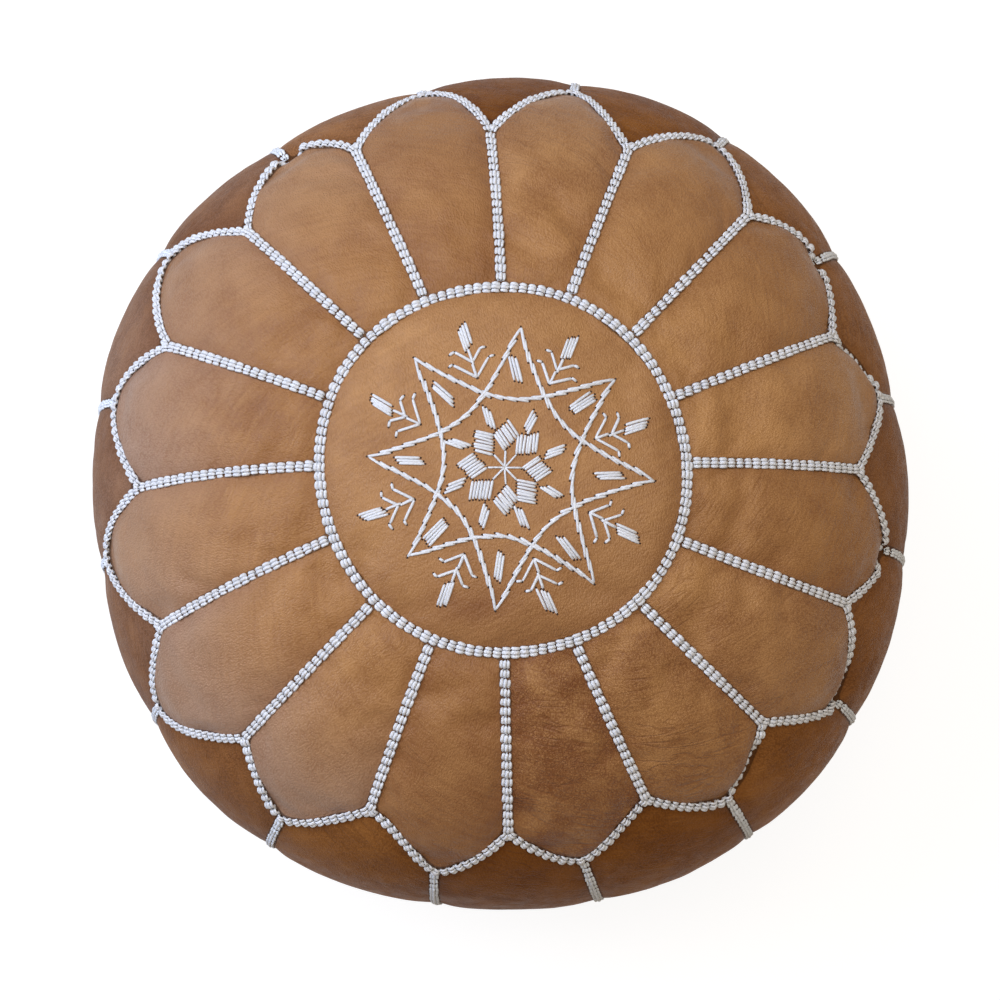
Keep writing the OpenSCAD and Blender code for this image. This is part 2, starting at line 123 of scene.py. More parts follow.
# Hand-dyed goatskin: a warm tan that the dye mottles, darker and more orange where it is rubbed
# beside the seams, with a fine pebbled grain, pale stretch crinkles and a dull waxed shine
leather = {
    "cloudSize": 110 * mm,
    "mottleSize": 26 * mm,
    "scuffSize": 7 * mm,
    "streakSize": (36 * mm, 3 * mm),
    "grainSize": (0.95 * mm, 1.45 * mm),  # about the real pebbles
    "poreSize": 1.1 * mm,  # drawn coarser than real pores, so that they show
    "crackSize": (2.5 * mm, 1.8 * mm),
    "crinkleSize": (22 * mm, 1.9 * mm),
    "crinklePatch": 38 * mm,
    "foldSize": (45 * mm, 10 * mm),
    "slant": 0.45,  # folds and streaks run aslant to the petal
    "burnishWidth": 15 * mm,
    "grooveFrom": 3.0 * mm,  # a painted shadow line lies along both sides of a braid
    "grooveTo": 3.8 * mm,
    # how far each kind of mark lightens the dye, and the sum at which it keeps the hide's own tone
    "clouds": 0.7,
    "mottling": 0.38,
    "creasedMottling": 0.9,  # added on a fully creased hide
    "scuffs": 0.12,
    "streaks": 0.42,
    "pores": 0.2,
    "balance": 0.7,
    # how strongly the other marks show
    "paintedSheenStrength": 2.0,
    "burnish": 0.6,
    "crinkles": 0.5,
    "grain": (0.5, 0.22),  # bold and worn
    "grainWear": 0.33,
    "creasedWear": 1.6,
    "cracks": (0.95, 0.35),  # dry and supple
    "folds": 0.7,
    "groove": 0.65,
    # how far the marks stand up or go down, against the pores
    "grainRise": -1.6,
    "crinkleRise": 1.5,
    "foldRise": -2.6,
    "crackRise": -1.2,
    "scuffRise": 0.5,
    "relief": 0.6 * mm,
    # the grey of the painted sheen
    "paintedSheenColour": "#a98c79",
    "crinkleColour": "#c08f5c",
    # the near black of the painted shadow beside the braids
    "grooveColour": "#2c170b",
    "sheenColour": "#e4ecff",
}


def leatherMaterial(name, dark, light, burnish, roughness, shine, sheen):
    material, tree = newMaterial(name)
    place = add(tree, "ShaderNodeTexCoord").outputs["Object"]
    hide = add(tree, "ShaderNodeUVMap", uv_map="hide")
    tone, rim, crease, paintedSheen = (add(tree, "ShaderNodeAttribute", attribute_name=label).outputs["Fac"]
                               for label in ("tone", "rimAway", "crease", "paintedSheen"))
    stretched, brushed, crazed, bent = (
        add(tree, "ShaderNodeMapping",
            {"Vector": hide, "Scale": (*leather[size], 1), "Rotation": (0, 0, leather["slant"])},
            vector_type="TEXTURE") for size in ("crinkleSize", "streakSize", "crackSize", "foldSize"))
    clouds = add(tree, "ShaderNodeTexNoise",
                 {"Vector": place, "Scale": 1 / leather["cloudSize"], "Detail": 3.0})
    mottle = add(tree, "ShaderNodeTexNoise",
                 {"Vector": place, "Scale": 1 / leather["mottleSize"], "Detail": 3.0,
                  "Roughness": 0.42, "Distortion": 0.5})
    scuffs = add(tree, "ShaderNodeTexNoise",
                 {"Vector": place, "Scale": 1 / leather["scuffSize"], "Detail": 3.0, "Roughness": 0.5})
    streaks = add(tree, "ShaderNodeTexNoise",
                  {"Vector": brushed, "Scale": 1.0, "Detail": 3.0, "Distortion": 0.3})
    pores = add(tree, "ShaderNodeTexNoise",
                {"Vector": place, "Scale": 1 / leather["poreSize"], "Detail": 2.0})
    # tone, clouds, mottle, scuffs, streaks and pores decide how light the dye is
    dyed = add(tree, "ShaderNodeMath", {0: clouds, 1: leather["clouds"], 2: tone}, operation="MULTIPLY_ADD")
    swing = add(tree, "ShaderNodeMath", {0: crease, 1: leather["creasedMottling"], 2: leather["mottling"]},
                operation="MULTIPLY_ADD")
    uneven = add(tree, "ShaderNodeMath", {0: mottle, 1: 0.5}, operation="SUBTRACT")
    for mark, share in ((uneven, swing), (scuffs, leather["scuffs"]), (streaks, leather["streaks"]),
                        (pores, leather["pores"])):
        dyed = add(tree, "ShaderNodeMath", {0: mark, 1: share, 2: dyed}, operation="MULTIPLY_ADD")
    dyed = add(tree, "ShaderNodeMath", {0: dyed, 1: leather["balance"]}, operation="SUBTRACT")
    colour = add(tree, "ShaderNodeMix", {"Factor": dyed, 6: linear(dark), 7: linear(light)},
                 data_type="RGBA")
    # painted sheen: a grey reflection of the cool light from the left is painted on some hides, more in
    # some places
    sheenPatches = add(tree, "ShaderNodeMath", {0: clouds, 1: leather["paintedSheenStrength"]}, operation="MULTIPLY")
    paintedSheenMark = add(tree, "ShaderNodeMath", {0: paintedSheen, 1: sheenPatches}, operation="MULTIPLY")
    # beside the seams the leather is rubbed, and a dark line of painted shadow lies along each braid
    rubbedEdge = add(tree, "ShaderNodeMapRange",
                     {"Value": rim, "From Max": leather["burnishWidth"], "To Min": 1.0, "To Max": 0.0},
                     interpolation_type="SMOOTHSTEP")
    rubbing = add(tree, "ShaderNodeMath", {0: mottle, 1: leather["burnish"]}, operation="MULTIPLY")
    rubbed = add(tree, "ShaderNodeMath", {0: rubbedEdge, 1: rubbing}, operation="MULTIPLY")
    groove = add(tree, "ShaderNodeMapRange",
                 {"Value": rim, "From Min": leather["grooveFrom"], "From Max": leather["grooveTo"],
                  "To Min": leather["groove"], "To Max": 0.0})
    # pale crinkles lie in patches of the creased hides
    crinkles = add(tree, "ShaderNodeTexNoise",
                   {"Vector": stretched, "Scale": 1.0, "Detail": 3.0, "Distortion": 1.1})
    lines = add(tree, "ShaderNodeMapRange", {"Value": crinkles, "From Min": 0.5, "From Max": 0.74})
    patches = add(tree, "ShaderNodeTexNoise",
                  {"Vector": hide, "Scale": 1 / leather["crinklePatch"], "Detail": 2.0})
    patch = add(tree, "ShaderNodeMapRange", {"Value": patches, "From Min": 0.4, "From Max": 0.62})
    patched = add(tree, "ShaderNodeMath", {0: lines, 1: patch}, operation="MULTIPLY")
    creased = add(tree, "ShaderNodeMath", {0: patched, 1: crease}, operation="MULTIPLY")
    paling = add(tree, "ShaderNodeMath", {0: creased, 1: leather["crinkles"]}, operation="MULTIPLY")
    # the grain is bold in places and worn smooth in others
    boldGrain, wornGrain = leather["grain"]
    pulled = add(tree, "ShaderNodeMapping", {"Vector": hide, "Scale": (*leather["grainSize"], 1)},
                 vector_type="TEXTURE")
    grain = add(tree, "ShaderNodeTexVoronoi", {"Vector": pulled, "Scale": 1.0, "Smoothness": 0.35},
                feature="SMOOTH_F1")
    bold = add(tree, "ShaderNodeMapRange",
               {"Value": mottle, "From Min": 0.35, "From Max": 0.65,
                "To Min": boldGrain, "To Max": wornGrain})
    worn = add(tree, "ShaderNodeMath", {0: crease, 1: leather["creasedWear"], 2: leather["grainWear"]},
               operation="MULTIPLY_ADD")
    bolder = add(tree, "ShaderNodeMath", {0: bold, 1: worn}, operation="MULTIPLY")
    pits = add(tree, "ShaderNodeMapRange",
               {"Value": grain, "From Min": 0.3, "From Max": 0.75, "To Max": bolder})
    # a net of fine cracks covers the most creased hides
    dryCracks, suppleCracks = leather["cracks"]
    cells = add(tree, "ShaderNodeTexVoronoi", {"Vector": crazed, "Scale": 1.0}, feature="DISTANCE_TO_EDGE")
    net = add(tree, "ShaderNodeMapRange", {"Value": cells, "From Max": 0.2, "To Min": 1.0, "To Max": 0.0})
    brittle = add(tree, "ShaderNodeMath", {0: crease, 1: 2.0}, operation="POWER")
    dry = add(tree, "ShaderNodeMapRange",
              {"Value": mottle, "From Min": 0.4, "From Max": 0.6,
               "To Min": dryCracks, "To Max": suppleCracks})
    crazing = add(tree, "ShaderNodeMath", {0: brittle, 1: dry}, operation="MULTIPLY")
    cracks = add(tree, "ShaderNodeMath", {0: net, 1: crazing}, operation="MULTIPLY")
    # long folds run where the leather was creased, their lines darkened with painted shade
    foldField = add(tree, "ShaderNodeTexNoise",
                    {"Vector": bent, "Scale": 1.0, "Detail": 2.0, "Distortion": 1.0})
    foldAway = add(tree, "ShaderNodeMath", {0: foldField, 1: 0.5}, operation="SUBTRACT")
    foldNear = add(tree, "ShaderNodeMath", {0: foldAway}, operation="ABSOLUTE")
    foldLine = add(tree, "ShaderNodeMapRange",
                   {"Value": foldNear, "From Max": 0.06, "To Min": 1.0, "To Max": 0.0},
                   interpolation_type="SMOOTHSTEP")
    foldPatch = add(tree, "ShaderNodeMapRange", {"Value": patches, "From Min": 0.54, "From Max": 0.42})
    foldPart = add(tree, "ShaderNodeMath", {0: foldLine, 1: foldPatch}, operation="MULTIPLY")
    folds = add(tree, "ShaderNodeMath", {0: foldPart, 1: crease}, operation="MULTIPLY")
    shaded = add(tree, "ShaderNodeMath", {0: folds, 1: leather["folds"]}, operation="MULTIPLY")
    # each mark is laid over those before it
    for mark, paint in ((paintedSheenMark, leather["paintedSheenColour"]), (rubbed, burnish),
                        (paling, leather["crinkleColour"]), (pits, burnish), (cracks, burnish),
                        (shaded, burnish), (groove, leather["grooveColour"])):
        colour = add(tree, "ShaderNodeMix", {"Factor": mark, 6: colour, 7: linear(paint)}, data_type="RGBA")
    # pebbles stand up, pits go down, and crinkles stand up in thin lines
    height = pores
    for mark, rise in ((grain, "grainRise"), (creased, "crinkleRise"), (folds, "foldRise"),
                       (cracks, "crackRise"), (scuffs, "scuffRise")):
        height = add(tree, "ShaderNodeMath", {0: mark, 1: leather[rise], 2: height},
                     operation="MULTIPLY_ADD")
    bump = add(tree, "ShaderNodeBump", {"Strength": 0.4, "Distance": leather["relief"], "Height": height})
    gloss = add(tree, "ShaderNodeMapRange",
                {"Value": scuffs, "From Min": 0.3, "From Max": 0.7,
                 "To Min": roughness - 0.07, "To Max": roughness + 0.09})
    finishMaterial(tree, {"Base Color": colour, "Roughness": gloss, "IOR": 1.48, "Normal": bump,
                          "Specular IOR Level": shine, "Sheen Weight": sheen, "Sheen Roughness": 0.4,
                          "Sheen Tint": linear(leather["sheenColour"])})
    return material


topLeather = leatherMaterial("dyedGoatskinTop", dark="#83542b", light="#c2925c", burnish="#73431b",
                             roughness=0.45, shine=0.3, sheen=0.06)
# painted shade: a darker, duller copy of the same goatskin, for the sides and the base
shadedSideLeather = leatherMaterial("dyedGoatskinSideShaded", dark="#6a3b13", light="#a56d32", burnish="#552c0d",
                              roughness=0.55, shine=0.07, sheen=0.05)


# Mercerised cotton thread: bright white with a soft shine, and painted cool grey shade in the lay of its
# twist
thread = {
    "pitch": 3.2 * mm,  # drawn coarser than the real 1 mm
    "fluffSize": 1.1 * mm,
    "relief": 0.2 * mm,
    "layShade": 0.12,  # how far the lay's painted shade and each bead's own tone go toward grey
    "beadShade": 0.12,
}


def threadMaterial(name, light, grey):
    material, tree = newMaterial(name)
    place = add(tree, "ShaderNodeTexCoord").outputs["Object"]
    along, around, tone = (add(tree, "ShaderNodeAttribute", attribute_name=label).outputs["Fac"]
                           for label in ("strandAlong", "strandAround", "beadTone"))
    lay = add(tree, "ShaderNodeMath", {0: along, 1: 1 / thread["pitch"], 2: around},
              operation="MULTIPLY_ADD")
    turned = add(tree, "ShaderNodeMath", {0: lay, 1: 2 * math.pi}, operation="MULTIPLY")
    wave = add(tree, "ShaderNodeMath", {0: turned}, operation="SINE")
    fluff = add(tree, "ShaderNodeTexNoise",
                {"Vector": place, "Scale": 1 / thread["fluffSize"], "Detail": 3.0})
    twistShade = add(tree, "ShaderNodeMapRange",
               {"Value": wave, "From Min": -0.2, "From Max": -1.0,
                "To Min": 0.0, "To Max": thread["layShade"]})
    toneAndTwistShade = add(tree, "ShaderNodeMath", {0: tone, 1: thread["beadShade"], 2: twistShade},
                 operation="MULTIPLY_ADD")
    twist = add(tree, "ShaderNodeMath", {0: fluff, 1: 0.6, 2: wave}, operation="MULTIPLY_ADD")
    finishPattern(tree, toneAndTwistShade, light, grey,
                  {"Strength": 0.25, "Distance": thread["relief"], "Height": twist},
                  {"Roughness": 0.62, "IOR": 1.53, "Sheen Weight": 0.15})
    return material


whiteThread = threadMaterial("mercerisedCotton", "#e6ebf2", "#878fa0")
litSideThread = threadMaterial("mercerisedCottonSideLit", "#eef6ff", "#b0bfd6")  # painted light: a brighter, bluer copy of the thread for the side seams, which lie in shade
print("leather and thread made")

# The pouf's outline: a crown over the waist and a foot under it
pouf = {
    "panels": 16,
    "puff": {"petal": 3 * mm, "side": 2 * mm, "medallion": 2 * mm},  # how far panels stand out of seams
    "solidPuff": 6 * mm,  # and how far the solid side panels do
    "waistHeight": 165 * mm,
    "footDepth": 15 * mm,  # how far under the floor the foot's curve would close
    "crownFullness": 2.3,
    "footFullness": 3.0,
    "ringAt": 111.6 * mm,  # places along the leather from the middle of the top
    "ringOval": 1.4 * mm,  # the ring is a little longer one way
    "ringLong": 148.0,
    "valleyAt": 233 * mm,
    "tipAt": 277 * mm,
    "tipRound": 0.3,
    "baseRadius": 194 * mm,
    "leather": 1.5 * mm,
    "fullness": 4 * mm,  # how far the stuffing presses the seams out
    "waistFullness": 1.2 * mm,  # and how much further below the petals
    "waistFrom": 278 * mm,
    "waistFade": 60 * mm,
    "stillTop": 50 * mm,  # the very top and the base keep their place
    "topFade": 200 * mm,
    "baseFade": 100 * mm,
    "sideFall": 0.8,  # below 1, a side seam turns early to its place on the base
    "waistDents": {1: (1.1 * mm, 195), 3: (1.8 * mm, 7), 5: (1.2 * mm, 329)},  # waves round: depth, degrees
    "outOfRound": 3.3 * mm,  # the stuffing's four soft corners and its longer way front to back
    "cornerAngle": 53.0,
    "lumps": 1.6 * mm,
    "lumpSize": 75 * mm,
}
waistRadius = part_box("side_panel_01")[1].x - pouf["solidPuff"]
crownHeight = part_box("top_medallion")[1].z - pouf["waistHeight"]
footHeight = pouf["waistHeight"] + pouf["footDepth"]
crownTurn = np.radians(np.linspace(90, 0, 241))
floorTurn = math.asin((pouf["waistHeight"] / footHeight) ** (pouf["footFullness"] / 2))
footTurn = np.linspace(0, floorTurn, 241)[1:]
crownPower, footPower = 2 / pouf["crownFullness"], 2 / pouf["footFullness"]
outlineR = waistRadius * np.concatenate([np.cos(crownTurn) ** crownPower, np.cos(footTurn) ** footPower])
outlineZ = pouf["waistHeight"] + np.concatenate([crownHeight * np.sin(crownTurn) ** crownPower,
                                                 -footHeight * np.sin(footTurn) ** footPower])
outlineS = np.concatenate([[0], np.cumsum(np.hypot(np.diff(outlineR), np.diff(outlineZ)))])
baseAt = float(np.interp(-pouf["baseRadius"], -outlineR[len(crownTurn):], outlineS[len(crownTurn):]))
floorRadius = outlineR[-1]


def smooth(t):
    t = np.clip(t, 0, 1)
    return t * t * (3 - 2 * t)


def radiusAt(s):
    return np.sign(s) * np.interp(np.abs(s), outlineS, outlineR)


def heightAt(s):
    return np.interp(np.abs(s), outlineS, outlineZ)


# A direction out of the leather, in the plane of the outline
def outwardAt(s):
    step = 1 * mm
    dr = radiusAt(s + step) - radiusAt(s - step)
    dz = heightAt(s + step) - heightAt(s - step)
    size = np.hypot(dr, dz)
    return -dz / size, dr / size


# Along parts of some petals' edges the leather bulges over its seam and half hides it
tucked = {
    "spans": [  # petal, part of its edge, how softly the tuck starts and ends, share of the depth
        (0, (0.2, 0.95), (0.15, 0.15), 0.65),
        (1, (-0.2, 0.15), (0.12, 0.12), 0.8),
        (5, (-0.28, 0.14), (0.1, 0.1), 0.9),
        (13, (0.0, 0.9), (0.15, 0.3), 0.8),
        (14, (-0.1, 0.8), (0.1, 0.6), 1.0),
        (15, (-0.35, 0.15), (0.2, 0.2), 1.0),
    ],
    "depth": 5.5 * mm,
    "reach": 5.5 * mm,
    "buried": 0.35,  # how much further the braid goes in
}


def tuck(s, angle):
    v = np.linspace(-1, 1, 81)
    depth = 0 * s
    for k, (first, last), (fadeIn, fadeOut), share in tucked["spans"]:
        edgeS, edgeAngle = petalEdge(k, v)
        middle = (k + 0.5) * step
        turn = np.mod(angle - middle + math.pi, 2 * math.pi) - math.pi + middle
        place = np.interp(turn, edgeAngle, v)
        away = (s - np.interp(turn, edgeAngle, edgeS)) / tucked["reach"]
        along = smooth((place - first) / fadeIn) * smooth((last - place) / fadeOut)
        depth = depth + share * tucked["depth"] * along * np.exp(-away ** 2)
    return depth


# Points on the leather: s along it from the middle of the top, angle round the axis
def onPouf(s, angle, lift=0.0):
    s, angle = np.broadcast_arrays(np.asarray(s, float), np.asarray(angle, float))
    outR, outZ = outwardAt(s)
    baseKept = smooth((baseAt - s) / pouf["baseFade"])
    loose = smooth((s - pouf["stillTop"]) / pouf["topFade"]) * baseKept
    full = np.stack([radiusAt(s) * np.cos(angle), radiusAt(s) * np.sin(angle), heightAt(s)], -1)
    lumps = [noise.noise(Vector(p) / pouf["lumpSize"]) for p in full.reshape(-1, 3)]
    lift = lift + pouf["lumps"] * np.reshape(lumps, s.shape) * baseKept
    lift = lift + pouf["fullness"] * loose
    waist = loose * smooth((s - pouf["waistFrom"]) / pouf["waistFade"])
    lift = lift + pouf["waistFullness"] * waist - tuck(s, angle)
    for waves, (depth, at) in pouf["waistDents"].items():
        lift = lift - depth * waist * np.cos(waves * (angle - math.radians(at)))
    corners = np.cos(4 * (angle - math.radians(pouf["cornerAngle"]))) - np.cos(2 * angle)
    radius = radiusAt(s) + outR * lift + pouf["outOfRound"] * loose * corners
    return np.stack([radius * np.cos(angle), radius * np.sin(angle), heightAt(s) + outZ * lift], -1)


def outOfPouf(s, angle):
    outR, outZ = outwardAt(np.asarray(s, float))
    return np.stack([outR * np.cos(angle), outR * np.sin(angle), outZ + 0 * angle], -1)


# Where the hand-sewn seams run: each list starts at +X and goes counter-clockwise
seams = {
    "ringLean": [1, -0.5, 0, 0.5, -0.5, 1, 0.5, -0.5, -2, -1.5, 0, -1, -0.5, -1, -0.5, -0.5],  # degrees
    "valleyLean": [0.5, 0, 1, 0.5, 1, 0.5, 0, 0, 0.5, 0, -0.5, 0, 0, 0.5, 0.5, 1.5],
    "tipLean": [0.5, 0, -0.5, -1, -2, -1.5, -2.5, -2, -2, -1.5, 0, 0.5, -0.5, 0, -1.5, -0.5],
    "baseLean": [0, 0, 0, 0, 0, 0, 0, 0, 0, 0, 0, 3, 4, 2, 0, 0],
    "valleyShift": [8, 10, -1, -8, -9, 3, -7, 1, 12, 16, 1, -8, -5, -7, -7, 7],  # millimetres
    "tipShift": [4, -10, 3, 10, 15, -9, 3, 2, 22, 18, -9, -13, -17, -19, 0, -1],
    # how far each half of a petal's edge bows out
    "bowBefore": [-3, 0, 0, -12, 0, 5, -7, 0, 0, -4, -3, -10, 0, 0, -8, 0],
    "bowAfter": [3, 5, 0, 0, 0, 3, 8, 3, 0, 0, -4, 0, -4, 0, 4, 0],
}
step = 2 * math.pi / pouf["panels"]


def ringPlace(angle):
    return pouf["ringAt"] + pouf["ringOval"] * np.cos(2 * (angle - math.radians(pouf["ringLong"])))


def ringAngle(k):
    return k * step + math.radians(seams["ringLean"][k % pouf["panels"]])


def valleyAngle(k):
    return k * step + math.radians(seams["valleyLean"][k % pouf["panels"]])


def valleyPlace(k):
    return pouf["valleyAt"] + seams["valleyShift"][k % pouf["panels"]] * mm


def roundedV(t):
    e = pouf["tipRound"]
    return (np.sqrt(t * t + e * e) - e) / (math.sqrt(1 + e * e) - e)


# The scalloped edge of petal k, from its clockwise corner at v = -1 to its other corner at v = 1
def petalEdge(k, v):
    k %= pouf["panels"]
    valley = np.where(v < 0, valleyPlace(k), valleyPlace(k + 1))
    tip = pouf["tipAt"] + seams["tipShift"][k] * mm
    lean = math.radians(seams["tipLean"][k])
    angle = valleyAngle(k) + (valleyAngle(k + 1) - valleyAngle(k)) * (v + 1) / 2 + lean * (1 - v * v)
    bow = np.where(v < 0, seams["bowBefore"][k], seams["bowAfter"][k]) * mm
    return tip - (tip - valley) * roundedV(np.abs(v)) + 4 * bow * np.abs(v) * (1 - np.abs(v)), angle


# Where the seam below the tip of petal k meets the base
def baseAngle(k):
    return (k + 0.5) * step + math.radians(seams["baseLean"][k % pouf["panels"]])


# Places from -1 to 1, closer together at both ends
def crowded(count, power):
    t = np.linspace(-1, 1, count + 1)
    return np.sign(t) * (1 - (1 - np.abs(t)) ** power)


panels = {
    "petalGrid": (28, 18),
    "sideGrid": (44, 20),
    "discGrid": 38,
    "crowding": 1.3,
    "discCrowding": 1.15,
    "edgeDrop": 0.8 * mm,  # the leather dips into the seams
    "seamGap": 0.2 * mm,
}


# A panel's own places: u from its inner end to its outer end, v across it
def spread(rows, cols):
    v = crowded(cols, panels["crowding"])[None, :]
    return (crowded(rows, panels["crowding"])[:, None] + 1) / 2, v


def petalGrid(k):
    u, v = spread(*panels["petalGrid"])
    edgeS, edgeAngle = petalEdge(k, v)
    startAngle = ringAngle(k) + (ringAngle(k + 1) - ringAngle(k)) * (v + 1) / 2
    startS = ringPlace(startAngle)
    return startS + (edgeS - startS) * u, startAngle + (edgeAngle - startAngle) * u, u, v


def sideGrid(k):
    u, v = spread(*panels["sideGrid"])
    before, after = petalEdge(k - 1, v + 1), petalEdge(k, v - 1)
    wrap = 2 * math.pi if k == 0 else 0  # petal 15 lies before the first side panel
    topS = np.where(v < 0, before[0], after[0])
    topAngle = np.where(v < 0, before[1] - wrap, after[1])
    endAngle = baseAngle(k - 1) + (baseAngle(k) - baseAngle(k - 1)) * (v + 1) / 2
    fall = u ** pouf["sideFall"]
    return topS + (baseAt - topS) * u, topAngle + (endAngle - topAngle) * fall, u, v


# A square grid spread over the round medallion, so that it has no pole
def discGrid():
    t = crowded(panels["discGrid"], panels["discCrowding"])
    x, y = np.meshgrid(t, t, indexing="ij")
    discX, discY = x * np.sqrt(1 - y * y / 2), y * np.sqrt(1 - x * x / 2)
    angle = np.arctan2(discY, discX)
    share = np.hypot(discX, discY)
    return ringPlace(angle) * share, angle, share


def gridFaces(rows, cols, start=0):
    i, j = np.meshgrid(np.arange(rows), np.arange(cols), indexing="ij")
    at = start + i * (cols + 1) + j
    return np.stack([at, at + cols + 1, at + cols + 2, at + 1], -1).reshape(-1, 4)


def gridRim(rows, cols):
    rim = np.zeros((rows + 1, cols + 1), bool)
    rim[[0, -1]] = True
    rim[:, [0, -1]] = True
    return rim


# Draws a grid's rim in by a hair, so that neighbouring panels don't share an edge
def drawIn(points, gap):
    inner = np.clip(np.arange(points.shape[0]), 1, points.shape[0] - 2)
    across = np.clip(np.arange(points.shape[1]), 1, points.shape[1] - 2)
    toward = points[inner][:, across] - points
    size = np.linalg.norm(toward, axis=-1, keepdims=True)
    return points + toward / np.maximum(size, 1e-9) * gap * (size > 1e-9)


# How far each point of a grid lies from the grid's rim
def rimDistance(points):
    loop = np.concatenate([points[0], points[1:, -1], points[-1, -2::-1], points[-2:0:-1, 0]])
    ends = np.roll(loop, -1, axis=0)
    sides, spots = ends - loop, points.reshape(-1, 1, 3) - loop
    share = np.clip((spots * sides).sum(-1) / np.maximum((sides * sides).sum(-1), 1e-12), 0, 1)
    away = np.linalg.norm(spots - share[..., None] * sides, axis=-1).min(1)
    return away.reshape(points.shape[:2])


# Every leather panel of the round cover before it is filled out, with its own flat map; the swell
# is flat in a panel's middle and falls to nothing at its rim
def layOut():
    cover = []
    for k in range(pouf["panels"]):
        for kind, grid in (("petal", petalGrid(k)), ("side", sideGrid(k))):
            s, angle, u, v = grid
            swell = (1 - v ** 4) * (1 - (2 * u - 1) ** 6)
            middle = angle[:, angle.shape[1] // 2][:, None]
            across = (angle - middle) * radiusAt(s)
            cover.append({"kind": kind, "number": k, "s": s, "angle": angle, "swell": swell,
                          "out": u + 0 * v, "hide": np.stack([across + 0.4 * k, s], -1)})
    s, angle, share = discGrid()
    swell = 1 - share ** 8
    cover.append({"kind": "medallion", "number": 0, "s": s, "angle": angle, "swell": swell,
                  "hide": np.stack([s * np.cos(angle), s * np.sin(angle)], -1)})
    for panel in cover:
        puff = panel["puff"] = pouf["puff"][panel["kind"]]
        lift = (puff + panels["edgeDrop"]) * panel["swell"] - panels["edgeDrop"]
        rest = onPouf(panel["s"], panel["angle"], lift)
        panel["points"] = drawIn(rest, panels["seamGap"])
    return cover


cover = layOut()
print("panels laid out:", len(cover))

# The filling presses the leather out between its seams: a cloth simulation with the seams held
stuffing = {
    "start": 0.45,  # share of the puff that the panels have before they are filled
    "frames": 20,
    "pressure": 3.0,
    "slack": 0.02,  # the leather is cut a little full, so that it puckers at the seams
    "roughness": 0.15 * mm,
    "mostMove": 7 * mm,
    "kept": {"petal": 1.0, "side": 0.45, "medallion": 1.0},  # the sides are packed too tight to billow
    "seed": 4,
    "cloth": {"quality": 6, "mass": 0.4, "use_pressure": True, "pin_stiffness": 50, "air_damping": 4,
              "tension_stiffness": 40, "compression_stiffness": 40, "shear_stiffness": 20,
              "bending_stiffness": 2, "tension_damping": 25, "compression_damping": 25,
              "bending_damping": 2},
}


def stuffCover():
    draw = np.random.default_rng(stuffing["seed"])
    points, faces, sewn = [], [], []
    for panel in cover:
        shape = panel["s"].shape
        puff = stuffing["start"] * panel["puff"]
        lift = (puff + panels["edgeDrop"]) * panel["swell"] - panels["edgeDrop"]
        rough = draw.normal(0, stuffing["roughness"], shape) * (panel["swell"] > 0)
        panel["start"] = drawIn(onPouf(panel["s"], panel["angle"], lift + rough), panels["seamGap"])
        first = sum(len(p) for p in points)
        points.append(panel["start"].reshape(-1, 3))
        faces.append(gridFaces(shape[0] - 1, shape[1] - 1, first))
        sewn.append(first + np.flatnonzero(gridRim(shape[0] - 1, shape[1] - 1).ravel()))
    allPoints = np.concatenate(points)
    mesh = bpy.data.meshes.new("coverCloth")
    mesh.from_pydata(allPoints.tolist(), [], np.concatenate(faces).tolist())
    cloth = bpy.data.objects.new("coverCloth", mesh)
    scene.collection.objects.link(cloth)
    cloth.vertex_groups.new(name="sewn").add(np.concatenate(sewn).tolist(), 1.0, "REPLACE")
    modifier = cloth.modifiers.new("filled", "CLOTH")
    settings = modifier.settings
    for label, value in stuffing["cloth"].items():
        setattr(settings, label, value)
    settings.vertex_group_mass = "sewn"
    settings.shrink_min = -stuffing["slack"]
    settings.uniform_pressure_force = stuffing["pressure"]
    settings.effector_weights.gravity = 0
    modifier.collision_settings.use_collision = False
    modifier.point_cache.frame_start, modifier.point_cache.frame_end = 1, stuffing["frames"]
    for number in range(1, stuffing["frames"] + 1):
        scene.frame_set(number)
    filled = cloth.evaluated_get(bpy.context.evaluated_depsgraph_get()).data
    found = np.empty(len(filled.vertices) * 3, np.float32)
    filled.vertices.foreach_get("co", found)
    moved = found.reshape(-1, 3) - allPoints
    size = np.linalg.norm(moved, axis=1, keepdims=True)
    print("leather filled out, mean and most in mm:", size.mean() / mm, size.max() / mm)
    moved *= np.minimum(1, stuffing["mostMove"] / np.maximum(size, 1e-9))
    bpy.data.objects.remove(cloth)
    scene.frame_set(1)
    first = 0
    for panel in cover:
        count = panel["s"].size
        share = stuffing["kept"][panel["kind"]]
        panel["points"] = panel["start"] + share * moved[first:first + count].reshape(panel["start"].shape)
        first += count


stuffCover()


def meshPiece(name, points, faces, material):
    mesh = bpy.data.meshes.new(name)
    mesh.from_pydata(points.reshape(-1, 3).tolist(), [], faces)
    mesh.polygons.foreach_set("use_smooth", [True] * len(mesh.polygons))
    mesh.materials.append(material)
    piece = bpy.data.objects.new(name, mesh)
    scene.collection.objects.link(piece)
    return piece


def thicken(piece, thickness, offset):
    wall = piece.modifiers.new("thickness", "SOLIDIFY")
    wall.thickness = thickness
    wall.offset = offset


